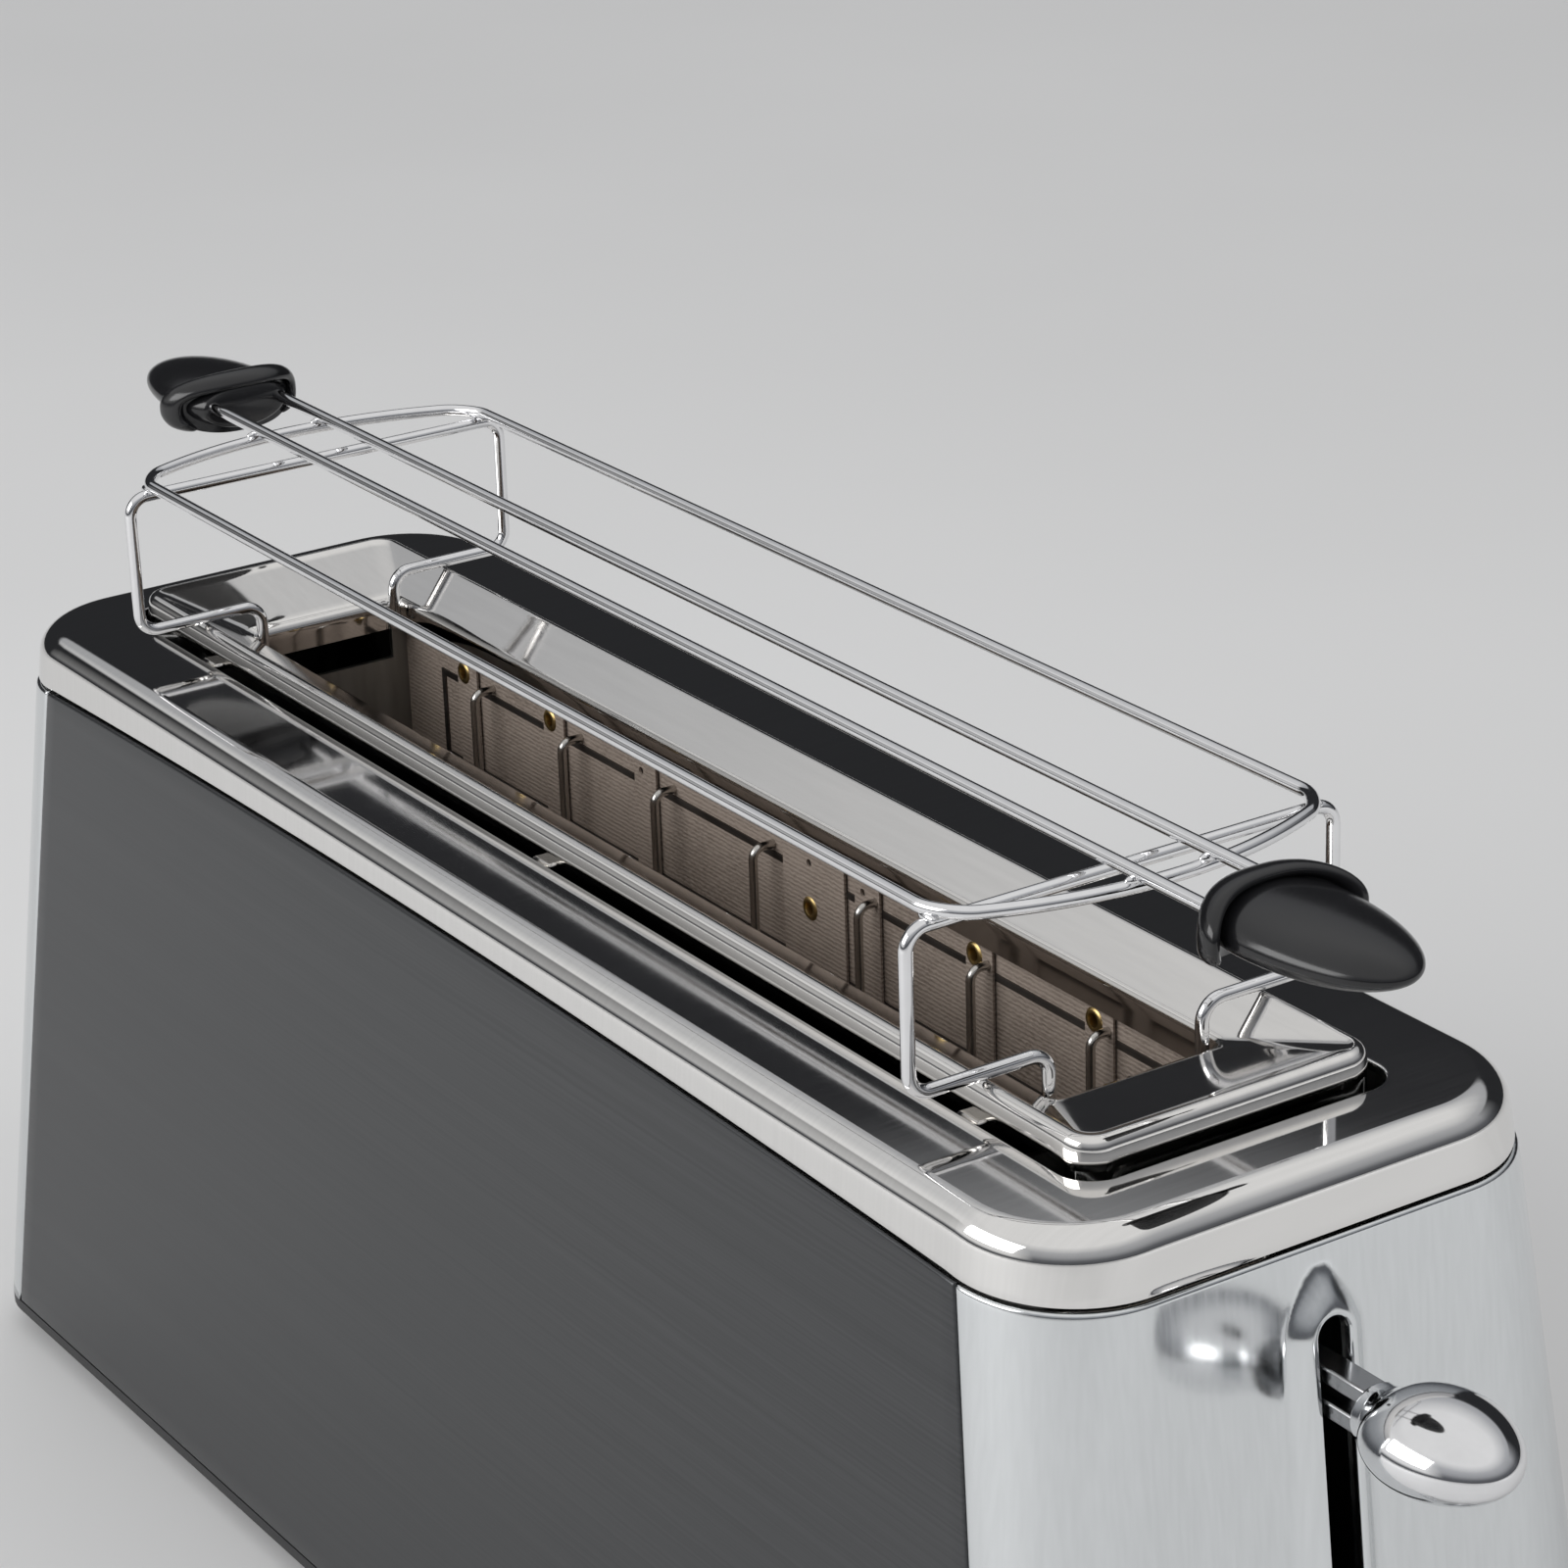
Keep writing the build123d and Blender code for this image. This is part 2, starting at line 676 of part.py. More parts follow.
# Carriage: plate with a bush on the guide rod and a tab for the spring
arm_low_z = lever_z - arm_height / 2
arm_high_z = lever_z + arm_height / 2
carriage_top_z = arm_high_z + carriage_top_margin
bush_top_z = carriage_top_z - carriage_top_margin
bush_bottom_z = bush_top_z - bush_length
bush_bore = rod_radius + rod_clearance
bush_radius = bush_bore + bush_wall
half = carriage_half_width
carriage = span(carriage_x, carriage_face_x, -half, half, carriage_bottom_z, carriage_top_z)
web_low_y, web_high_y = rod_y - bush_radius / 2, rod_y + bush_radius / 2
carriage += span(carriage_face_x, rod_x, web_low_y, web_high_y, bush_bottom_z, bush_top_z)
carriage += upright(bush_radius, rod_x, rod_y, bush_bottom_z, bush_top_z)
carriage -= upright(bush_bore, rod_x, rod_y, bush_bottom_z, bush_top_z)
spring_low_z = bush_bottom_z
tab_low_y, tab_high_y = -rod_y - spring_outer_radius, -rod_y + spring_outer_radius
tab_end_x = rod_x + spring_outer_radius
tab_low_z = spring_low_z - spring_tab_thickness
carriage += span(carriage_face_x, tab_end_x, tab_low_y, tab_high_y, tab_low_z, spring_low_z)
save("lever_carriage", carriage)

bracket_z = carriage_top_z + lever_up_travel + bracket_clearance
bracket_top_z = bracket_z + bracket_thickness
bracket = span(chassis_face_x, chassis_face_x + bracket_reach, -half, half, bracket_z, bracket_top_z)
save("guide_rod_bracket", bracket - upright(rod_radius, rod_x, rod_y, bracket_z, bracket_top_z))
save("guide_rod", upright(rod_radius, rod_x, rod_y, base_top_z, bracket_top_z))

spring_bore = spring_outer_radius - spring_wire
spring = upright(spring_outer_radius, rod_x, -rod_y, spring_low_z, bracket_z)
save("lift_spring", spring - upright(spring_bore, rod_x, -rod_y, spring_low_z, bracket_z))

# Lever arm: two prongs, one over the other, from the carriage through the slot into the knob
arm_root_x = carriage_face_x + arm_root_length
arm_end_x = knob_inner_x + knob_grip
arm = span(carriage_face_x, arm_root_x, -arm_root_width / 2, arm_root_width / 2, arm_low_z, arm_high_z)
arm += span(arm_root_x, arm_end_x, -arm_width / 2, arm_width / 2, arm_low_z, arm_high_z)
gap_low_z, gap_high_z = lever_z - arm_gap / 2, lever_z + arm_gap / 2
arm -= span(arm_root_x, arm_end_x, -arm_width / 2, arm_width / 2, gap_low_z, gap_high_z)
save("lever_arm", arm)
knob = Pos(knob_centre_x, 0, lever_z + knob_rise) * ellipsoid(knob_length, knob_width, knob_thickness)
save("lever_knob", knob - arm)

# Hold-down magnet: armature under the carriage, core and coil on the base
magnet_end_x = carriage_face_x + armature_length
magnet_x = carriage_face_x + armature_length / 2
half = armature_width / 2
armature_top_z = carriage_bottom_z + armature_thickness
save("armature_plate", span(carriage_face_x, magnet_end_x, -half, half, carriage_bottom_z, armature_top_z))
core_top_z = base_top_z + magnet_height
yoke_top_z = base_top_z + yoke_thickness
coil_top_z = core_top_z - coil_setback
core = span(carriage_face_x, magnet_end_x, -half, half, base_top_z, yoke_top_z)
save("magnet_core", core + upright(magnet_core_radius, magnet_x, 0, yoke_top_z, core_top_z))
coil = upright(magnet_core_radius + coil_wall, magnet_x, 0, yoke_top_z, coil_top_z)
save("magnet_coil", coil - upright(magnet_core_radius, magnet_x, 0, yoke_top_z, coil_top_z))

# Browning dial on its shaft, with the potentiometer behind the panel
dial_top = dial_clearance + dial_height
dial = rod_on(dial_plane, dial_radius, dial_clearance, dial_top)
dial = fillet(outer_edges(dial, dial_plane), dial_edge_radius)
grip = Box(dial_grip_width, 2 * (dial_radius - dial_edge_radius), dial_grip_height)
dial += dial_plane * Pos(0, 0, dial_top + dial_grip_height / 2) * grip
board_front = -(panel_wall + board_depth)
shaft_low = board_front + shaft_clearance
shaft_high = dial_clearance + shaft_engagement
save("browning_dial", dial - rod_on(dial_plane, shaft_radius, dial_clearance, shaft_high))
save("dial_shaft", rod_on(dial_plane, shaft_radius, shaft_low, shaft_high))
pot_bore = shaft_radius + shaft_clearance
pot_radius = pot_bore + pot_wall
pot_top = board_front + pot_height
pot = rod_on(dial_plane, pot_radius, board_front, pot_top)
save("dial_potentiometer", pot - rod_on(dial_plane, pot_bore, board_front, pot_top))

# Push buttons, held behind the panel by a flange, and the switches they press
flange_high = -(panel_wall + button_stop_gap)
flange_low = flange_high - button_flange
switch_top = board_front + switch_height
stem_low = switch_top + button_travel + button_stop_gap
flange_radius = button_radius + button_flange_margin
switches = []
for name, plane in zip(button_names, button_planes):
    button = rod_on(plane, button_radius, flange_high, button_proud)
    button = fillet(outer_edges(button, plane), button_edge_radius)
    button += rod_on(plane, flange_radius, flange_low, flange_high)
    button += rod_on(plane, button_stem_radius, stem_low, flange_low)
    save(name, button)
    switch = Box(switch_side, switch_side, switch_height)
    switches.append(plane * Pos(0, 0, board_front + switch_height / 2) * switch)
save("button_switches", *switches)

# Control board behind the dial and the buttons, on posts from the panel
board_low_y = button_planes[-1].origin.Y - pcb_margin
board_high_y = dial_y + pot_radius + pcb_margin
board_length = board_high_y - board_low_y
board_plane = panel_plane(1, (board_low_y + board_high_y) / 2, control_z)
pcb = Box(board_length, pcb_height, pcb_wall)
save("control_board", board_plane * Pos(0, 0, board_front - pcb_wall / 2) * pcb)
posts = []
for u in (post_inset - board_length / 2, board_length / 2 - post_inset):
    for v in (post_inset - pcb_height / 2, pcb_height / 2 - post_inset):
        post = Cylinder(post_radius, board_depth)
        posts.append(board_plane * Pos(u, v, -panel_wall - board_depth / 2) * post)
save("board_posts", *posts)

# Crumb tray: shallow sheet tray that slides out of the cord end
tray_front_x = tray_grip_depth - tray_reach
tray_end_x = chassis_x - tray_end_gap
half = tray_half_width
inside = half - tray_wall
tray = span(tray_front_x, tray_end_x, -half, half, tray_floor_z, tray_rim_z)
well_x0, well_x1 = tray_front_x + tray_front_wall, tray_end_x - tray_wall
tray -= span(well_x0, well_x1, -inside, inside, tray_floor_z + tray_wall, tray_rim_z)
grip_x, grip_z = tray_front_x - tray_grip_depth, tray_rim_z - tray_grip_thickness
tray += span(grip_x, tray_front_x, -half / 2, half / 2, grip_z, tray_rim_z)
save("crumb_tray", tray)

# Cord inlet gland and the terminal block inside
gland = rod_on(gland_plane, gland_body_radius + gland_flange_margin, 0, gland_flange)
gland = fillet(outer_edges(gland, gland_plane), gland_flange / 2)
gland += rod_on(gland_plane, gland_body_radius, -gland_depth, 0)
save("cord_gland", gland - rod_on(gland_plane, gland_bore_radius, -gland_depth, gland_flange))

terminal_x = -(chassis_face_x + chassis_toe_length + terminal_end_gap + terminal_length / 2)
rim_inner_y = half_width(base_rim_z) - rim_inset - base_rim_wall
terminal_y = terminal_width / 2 + terminal_side_gap - rim_inner_y
terminal_top_z = base_top_z + terminal_height
block = Box(terminal_length, terminal_width, terminal_height)
block = fillet(block.edges().group_by(Axis.Z)[-1], terminal_edge_radius)
save("terminal_block", Pos(terminal_x, terminal_y, base_top_z + terminal_height / 2) * block)
terminal_screws = []
for x in (terminal_x - terminal_pitch, terminal_x, terminal_x + terminal_pitch):
    screw_top_z = terminal_top_z + terminal_screw_height
    terminal_screws.append(upright(terminal_screw_radius, x, terminal_y, terminal_top_z, screw_top_z))
save("terminal_screws", *terminal_screws)

# Main switch: block on the chassis plate with two spring leaves
switch_z = panel_foot_z + switch_block_rise
switch_block_y = switch_block_inset + switch_block_width / 2 - chassis_half_width
block = Box(switch_block_depth, switch_block_width, switch_block_height)
switch_x = chassis_face_x + switch_block_depth / 2
save("switch_block", Pos(switch_x, switch_block_y, switch_z) * block)
leaf_y = switch_block_y - switch_block_width / 2 - leaf_length / 2
leaves = []
for z in (switch_z - leaf_pitch / 2, switch_z + leaf_pitch / 2):
    leaves.append(Pos(switch_x, leaf_y, z) * Box(leaf_width, leaf_length, leaf_wall))
save("switch_leaves", *leaves)

# Warming rack: perimeter wire with bowed ends, and two rails laid on it
near_cord, far_cord = (-rack_half_length, -rack_half_width), (-rack_half_length, rack_half_width)
near_lever, far_lever = (rack_half_length, -rack_half_width), (rack_half_length, rack_half_width)
bow_x = rack_half_length + rack_bow
perimeter = [
    Line(near_cord, near_lever),
    ThreePointArc(near_lever, (bow_x, 0), far_lever),
    Line(far_lever, far_cord),
    ThreePointArc(far_cord, (-bow_x, 0), near_cord),
]
rack_face = make_face([edge for line in perimeter for edge in line.edges()])
rack_face = fillet(rack_face.vertices(), rack_corner_radius)
save("rack_frame_wire", wire_along(Pos(0, 0, rack_z) * rack_face.wire(), wire_radius))

guard_disc_x = handle_tip_x - paddle_length + guard_disc_setback
rail_end_x = guard_disc_x + rail_grip
rail = Rot(0, 90, 0) * Cylinder(wire_radius, 2 * rail_end_x)
rails = [Pos(0, sign * rail_y, rail_z) * rail for sign in SIDES.values()]
save("rack_rails", *rails)

# Rack legs: one bent wire at each end, with feet on the rim and hooks in the slot
hook_y = slot_width / 2 - hook_side_gap
for end, sign in ENDS.items():
    half_route = [(hook_y, leg_foot_z - hook_drop), (hook_y, leg_foot_z)]
    half_route += [(leg_half_width, leg_foot_z), (leg_half_width, leg_top_z)]
    route = [(sign * leg_x, -y, z) for y, z in half_route]
    route += [(sign * leg_x, y, z) for y, z in reversed(half_route)]
    save(f"rack_leg_{end}_end", wire_along(FilletPolyline(*route, radius=leg_bend_radius), wire_radius))

# Rack handles: a smooth paddle behind a dished finger guard, pushed on to the rails
paddle_x = handle_tip_x - paddle_length / 2
paddle_z = rail_z - paddle_drop
handle = Pos(paddle_x, 0, paddle_z) * ellipsoid(paddle_length, paddle_width, paddle_thickness)
guard_outline = RectangleRounded(guard_disc_height, guard_disc_width, guard_disc_radius)
guard_disc = Pos(guard_disc_x, 0, paddle_z) * Rot(0, 90, 0) * extrude(guard_outline, guard_disc_curve / 2)
dish_centre = Pos(guard_disc_x + guard_disc_curve, 0, paddle_z)
guard_disc &= dish_centre * Sphere(guard_disc_curve)
guard_disc -= dish_centre * Sphere(guard_disc_curve - guard_disc_wall)
handle = handle + guard_disc - rails[0] - rails[1]
save("rack_handle_lever_end", handle)
save("rack_handle_cord_end", mirror(handle, about=Plane.YZ))
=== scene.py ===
import bmesh
import bpy
import json
import numpy as np
from math import atan, cos, pi, radians, sin
from mathutils import Matrix, Vector

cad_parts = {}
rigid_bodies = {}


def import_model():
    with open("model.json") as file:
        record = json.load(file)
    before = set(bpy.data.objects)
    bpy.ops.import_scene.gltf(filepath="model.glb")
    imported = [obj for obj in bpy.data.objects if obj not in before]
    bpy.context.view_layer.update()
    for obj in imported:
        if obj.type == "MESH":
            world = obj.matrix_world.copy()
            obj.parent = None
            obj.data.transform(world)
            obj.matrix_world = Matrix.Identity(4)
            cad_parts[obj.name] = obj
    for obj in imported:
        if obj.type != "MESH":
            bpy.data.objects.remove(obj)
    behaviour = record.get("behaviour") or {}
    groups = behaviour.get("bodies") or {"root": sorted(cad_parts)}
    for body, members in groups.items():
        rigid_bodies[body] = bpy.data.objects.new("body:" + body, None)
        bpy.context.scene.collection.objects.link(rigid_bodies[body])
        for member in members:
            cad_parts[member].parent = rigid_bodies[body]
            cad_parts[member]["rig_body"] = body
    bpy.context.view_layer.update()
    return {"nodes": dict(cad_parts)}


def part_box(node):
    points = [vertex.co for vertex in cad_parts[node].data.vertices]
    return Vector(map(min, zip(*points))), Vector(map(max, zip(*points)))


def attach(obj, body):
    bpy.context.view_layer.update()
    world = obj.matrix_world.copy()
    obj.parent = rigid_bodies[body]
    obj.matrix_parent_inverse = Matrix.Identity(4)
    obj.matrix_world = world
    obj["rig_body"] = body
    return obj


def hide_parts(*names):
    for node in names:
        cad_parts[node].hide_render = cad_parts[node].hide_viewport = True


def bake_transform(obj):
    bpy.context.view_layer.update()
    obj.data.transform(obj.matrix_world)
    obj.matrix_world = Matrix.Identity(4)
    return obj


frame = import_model()

# Base plate: a black moulded floor pan with an upstanding rim that the steel panels stand on.
# It rests on four turned rubber feet and is held by four slotted, plated screws.


def effect_group(name, setting, kind, value, output):
    """A shader node group with a vector, one setting and one output, and its two end nodes."""
    group = bpy.data.node_groups.new(name, "ShaderNodeTree")
    group.interface.new_socket("Vector", in_out="INPUT", socket_type="NodeSocketVector")
    group.interface.new_socket(setting, in_out="INPUT", socket_type=kind).default_value = value
    group.interface.new_socket(output, in_out="OUTPUT", socket_type="NodeSocketFloat")
    return group, group.nodes.new("NodeGroupInput"), group.nodes.new("NodeGroupOutput")


def noise_chain(group, source, target, label, scale, detail, low, high):
    """Noise at the incoming vector, stretched so that low to high becomes 0 to 1."""
    noise = group.nodes.new("ShaderNodeTexNoise")
    noise.inputs["Detail"].default_value = detail
    level = group.nodes.new("ShaderNodeMapRange")
    level.inputs["From Min"].default_value = low
    level.inputs["From Max"].default_value = high
    group.links.new(source, noise.inputs["Vector"])
    if isinstance(scale, float):
        noise.inputs["Scale"].default_value = scale
    else:
        group.links.new(scale, noise.inputs["Scale"])
    group.links.new(noise.outputs["Fac"], level.inputs["Value"])
    group.links.new(level.outputs["Result"], target.inputs[label])


# Moulding grain and broad handling marks, read from the place on the piece
moulded_grain, grain_in, grain_out = effect_group(
    "moulded_grain", "Fineness", "NodeSocketFloat", 900.0, "Grain"
)
noise_chain(moulded_grain, grain_in.outputs[0], grain_out, "Grain", grain_in.outputs[1], 2.0, 0.3, 0.7)
handling_marks, marks_in, marks_out = effect_group(
    "handling_marks", "Size", "NodeSocketFloat", 25.0, "Marks"
)
noise_chain(handling_marks, marks_in.outputs[0], marks_out, "Marks", marks_in.outputs[1], 4.0, 0.4, 0.72)


class Finish:
    """A material with its shader, object coordinates and short ways to place and join nodes."""

    def __init__(self, name, metallic=0.0):
        self.material = bpy.data.materials.new(name)
        self.material.use_nodes = True
        self.tree = self.material.node_tree
        self.shader = self.tree.nodes["Principled BSDF"]
        self.shader.inputs["Metallic"].default_value = metallic
        self.place = self.tree.nodes.new("ShaderNodeTexCoord").outputs["Object"]

    def effect(self, group, **values):
        """Place a group on the object coordinates and give its first output."""
        node = self.tree.nodes.new("ShaderNodeGroup")
        node.node_tree = group
        self.tree.links.new(self.place, node.inputs["Vector"])
        for label, value in values.items():
            node.inputs[label].default_value = value
        return node.outputs[0]

    def sum(self, *terms):
        """A plain number plus each (mask, weight), as one value."""
        total = terms[0]
        for mask, weight in terms[1:]:
            node = self.tree.nodes.new("ShaderNodeMath")
            node.operation = "MULTIPLY_ADD"
            self.tree.links.new(mask, node.inputs[0])
            node.inputs[1].default_value = weight
            if isinstance(total, float):
                node.inputs[2].default_value = total
            else:
                self.tree.links.new(total, node.inputs[2])
            total = node.outputs[0]
        return total

    def between(self, mask, first, second):
        """One colour where the mask is 0, the other where it is 1; either may be linked."""
        node = self.tree.nodes.new("ShaderNodeMix")
        node.data_type = "RGBA"
        self.tree.links.new(mask, node.inputs["Factor"])
        for socket, colour in zip((node.inputs[6], node.inputs[7]), (first, second)):
            if isinstance(colour, tuple):
                socket.default_value = (*colour, 1.0)
            else:
                self.tree.links.new(colour, socket)
        return node.outputs[2]

    def feed(self, label, value):
        """Link a value to one of the shader's sockets."""
        self.tree.links.new(value, self.shader.inputs[label])

    def relief(self, height, strength, distance):
        """Bump from a height, with distance in metres."""
        node = self.tree.nodes.new("ShaderNodeBump")
        node.inputs["Strength"].default_value = strength
        node.inputs["Distance"].default_value = distance
        self.tree.links.new(height, node.inputs["Height"])
        self.feed("Normal", node.outputs["Normal"])


def moulded_plastic(name, colour, roughness, fineness, depth):
    """Moulded plastic: fine grain in the surface, and paler, duller patches from handling."""
    finish = Finish(name)
    grain = finish.effect(moulded_grain, Fineness=fineness)
    marks = finish.effect(handling_marks, Size=30.0)
    worn = tuple(1.5 * c + 0.004 for c in colour)
    finish.feed("Base Color", finish.between(marks, colour, worn))
    finish.feed("Roughness", finish.sum(roughness, (marks, 0.08), (grain, 0.06)))
    finish.relief(grain, depth, 0.00004)
    return finish.material


def dress(finish, *nodes):
    """Give CAD nodes that keep their own shape a finish."""
    for node in nodes:
        slots = frame["nodes"][node].material_slots
        for slot in slots:
            slot.material = finish
        if not slots:
            frame["nodes"][node].data.materials.append(finish)


def add_object(name, data):
    """A new object in the scene, at the origin."""
    thing = bpy.data.objects.new(name, data)
    bpy.context.scene.collection.objects.link(thing)
    return thing


def softened(node, finish, width):
    """A merged copy of a CAD node whose flat faces are joined and whose edges are rounded by width."""
    mesh = frame["nodes"][node].data.copy()
    work = bmesh.new()
    work.from_mesh(mesh)
    bmesh.ops.remove_doubles(work, verts=work.verts, dist=1e-6)
    bmesh.ops.dissolve_limit(work, angle_limit=radians(2), verts=work.verts, edges=work.edges)
    work.to_mesh(mesh)
    work.free()
    mesh.materials.clear()
    mesh.materials.append(finish)
    piece = add_object(node + "_finished", mesh)
    round_edge = piece.modifiers.new("edges", "BEVEL")
    round_edge.width = width * 0.001
    round_edge.segments = 2
    round_edge.limit_method = "ANGLE"
    round_edge.angle_limit = radians(35)
    mesh.shade_smooth()
    mesh.set_sharp_from_angle(angle=radians(40))
    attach(piece, frame["nodes"][node]["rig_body"])
    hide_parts(node)


black_plastic = moulded_plastic("black_moulding", (0.012, 0.012, 0.013), 0.42, 1400.0, 0.25)
softened("base_plate", black_plastic, 0.4)

body_low, body_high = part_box("top_cover")
middle_x = (body_low.x + body_high.x) * 500.0


def grid_faces(rows, cols, wrap_rows=False, wrap_cols=False):
    """Quads between neighbouring points of a rows by cols grid, closed on itself where asked."""
    i, j = np.meshgrid(
        np.arange(rows if wrap_rows else rows - 1),
        np.arange(cols if wrap_cols else cols - 1),
        indexing="ij",
    )
    up, on = (i + 1) % rows, (j + 1) % cols
    return np.stack([i * cols + j, i * cols + on, up * cols + on, up * cols + j], -1).reshape(-1, 4)


def make_piece(name, parts, finish, body, slot, *nodes, sharp=40.0, outward=None, stretch=None):
    """One object from (points, faces) parts, points in millimetres about the body's middle.

    Doubled points are merged, so seams and poles close. Faces turn outwards, or for an open
    sheet towards the outward vector. A stretched piece has its transform baked in and is attached
    to no body; the points given as stretch are not used.
    """
    points, faces, count = [], [], 0
    for part_points, part_faces in parts:
        part_points = np.asarray(part_points, float).reshape(-1, 3)
        points.append(part_points)
        faces.append(np.asarray(part_faces) + count)
        count += len(part_points)
    points = (np.concatenate(points) + (middle_x, 0, 0)) * 0.001
    mesh = bpy.data.meshes.new(name)
    mesh.from_pydata(points.tolist(), [], np.concatenate(faces).tolist())
    work = bmesh.new()
    work.from_mesh(mesh)
    bmesh.ops.remove_doubles(work, verts=work.verts, dist=2e-6)
    bmesh.ops.dissolve_degenerate(work, edges=work.edges, dist=1e-7)
    bmesh.ops.recalc_face_normals(work, faces=work.faces)
    if outward is not None:
        lean = sum((f.normal * f.calc_area() for f in work.faces), Vector())
        if lean.dot(Vector(outward)) < 0:
            bmesh.ops.reverse_faces(work, faces=work.faces)
    work.to_mesh(mesh)
    work.free()
    mesh.materials.append(finish)
    mesh.shade_smooth()
    mesh.set_sharp_from_angle(angle=radians(sharp))
    piece = add_object(name, mesh)
    if stretch:
        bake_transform(piece)
    else:
        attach(piece, body)
    if nodes:
        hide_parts(*nodes)
    return piece


def turned(profile, origin, axis, count=48, closed=False):
    """Rows of (radius, height) carried round an axis: origin + height * axis + radius * (cos, sin).

    A closed profile's last row joins its first, as in the wall of a tube.
    """
    axis = Vector(axis).normalized()
    side = axis.orthogonal().normalized()
    other = axis.cross(side)
    angle = np.linspace(0, 2 * pi, count, endpoint=False)
    ring = np.outer(np.cos(angle), side) + np.outer(np.sin(angle), other)
    radius, height = np.asarray(profile, float).T[:, :, None, None]
    points = np.asarray(origin) + height * np.asarray(axis) + radius * ring
    return points, grid_faces(len(profile), count, closed, True)


foot_rubber = moulded_plastic("foot_rubber", (0.016, 0.016, 0.016), 0.75, 2500.0, 0.5)
foot_profile = [(0, 0.6), (4, 0.6), (4.4, 0), (6.4, 0), (6.8, 0.5), (7.4, 0.5), (7.8, 0), (8.8, 0)]
foot_profile += [(9.6, 0.35), (10, 1.2), (9.6, 5.6), (9.3, 6), (4, 6), (4, 8.4), (0, 8.4)]
feet = [turned(foot_profile, (x, y, 0), (0, 0, 1)) for x in (-172, 172) for y in (-46, 46)]
make_piece("grip_feet", feet, foot_rubber, "body", "foot_rubber", "rubber_feet")

# Chassis: folded sheet plates at both ends and a reflector behind each heater.
# Zinc-plated steel with a faint rolled grain, screwed to the base through the plates' toes.
drawn_lines, lines_in, lines_out = effect_group(
    "drawn_lines", "Stretch", "NodeSocketVector", (60, 60, 1500), "Lines"
)
stretch = drawn_lines.nodes.new("ShaderNodeMapping")
drawn_lines.links.new(lines_in.outputs["Vector"], stretch.inputs["Vector"])
drawn_lines.links.new(lines_in.outputs["Stretch"], stretch.inputs["Scale"])
noise_chain(drawn_lines, stretch.outputs["Vector"], lines_out, "Lines", 1.0, 3.0, 0.3, 0.7)


def steel(name, colour, roughness, stretch, line_share, depth, smear):
    """Bare metal: lines drawn along one direction, and faint smears where it is handled."""
    finish = Finish(name, metallic=1.0)
    lines = finish.effect(drawn_lines, Stretch=stretch)
    marks = finish.effect(handling_marks, Size=18.0)
    dull = tuple(c * (1 - line_share) for c in colour)
    finish.feed("Base Color", finish.between(lines, dull, colour))
    finish.feed("Roughness", finish.sum(roughness, (lines, 0.35 * roughness), (marks, smear)))
    finish.relief(lines, depth, 0.00002)
    return finish.material


plated_sheet = steel("zinc_plate", (0.46, 0.46, 0.44), 0.34, (300, 300, 40), 0.25, 0.1, 0.1)
dress(plated_sheet, "lever_end_chassis_plate", "cord_end_chassis_plate", "near_reflector", "far_reflector")
plated_screw = steel("plated_screws", (0.55, 0.54, 0.5), 0.28, (700, 700, 700), 0.2, 0.1, 0.1)
softened("base_screws", plated_screw, 0.25)

# Heater boards: brown mica sheets with a woven face, wound with a flat resistance ribbon.
# Narrow mica strips lie over the ribbon, held by hollow brass eyelets punched through both.


def bands(finish, scale, distortion=0.0, waviness=1.0):
    """Level bands up the height of a piece, pushed about by distortion."""
    node = finish.tree.nodes.new("ShaderNodeTexWave")
    node.bands_direction = "Z"
    for label, value in (("Scale", scale), ("Distortion", distortion), ("Detail Scale", waviness)):
        node.inputs[label].default_value = value
    finish.tree.links.new(finish.place, node.inputs["Vector"])
    return node.outputs["Fac"]


mica_finish = Finish("pressed_mica")
weave = bands(mica_finish, 330.0, 2.5, 3.0)
threads = mica_finish.effect(drawn_lines, Stretch=(900, 900, 2600))
clouds = mica_finish.effect(handling_marks, Size=45.0)
cloth = mica_finish.between(weave, (0.265, 0.212, 0.178), (0.41, 0.338, 0.288))
scorched = mica_finish.between(clouds, cloth, (0.18, 0.142, 0.116))
mica_finish.feed("Base Color", mica_finish.between(threads, scorched, (0.385, 0.318, 0.268)))
mica_finish.feed("Roughness", mica_finish.sum(0.62, (threads, 0.15)))
mica_finish.relief(mica_finish.sum(0.0, (weave, 1.0), (threads, 0.6)), 0.6, 0.00012)
mica = mica_finish.material
heater_alloy = steel("heater_alloy", (0.14, 0.125, 0.115), 0.42, (60, 400, 400), 0.3, 0.1, 0.1)
brass = steel("eyelet_brass", (0.58, 0.42, 0.18), 0.28, (500, 500, 500), 0.3, 0.1, 0.12)
eyelet_at = [(67.8, 162.6), (103.8, 162.6), (-83.2, 162.6), (-119.2, 162.6), (13.6, 153.1)]
eyelet_profile = [(1.25, 0.5), (1.4, 0.08), (1.75, 0), (2.15, 0.12), (2.45, 0.4)]
eyelet_profile += [(1.6, 0.4), (1.6, 2.3), (1.25, 2.3)]
for side, sign in (("near", -1), ("far", 1)):
    dress(mica, side + "_heater_board", side + "_mica_strips")
    dress(heater_alloy, side + "_heater_ribbon")
    rings = [turned(eyelet_profile, (x, sign * 20.2, z), (0, sign, 0), 28, True) for x, z in eyelet_at]
    make_piece(side + "_rolled_eyelets", rings, brass, "body", "brass", side + "_brass_eyelets")

# Guard wires: bright bent wires in front of each board that keep the bread off the heater.
# Both ends turn back through the mica and are clinched in the board.


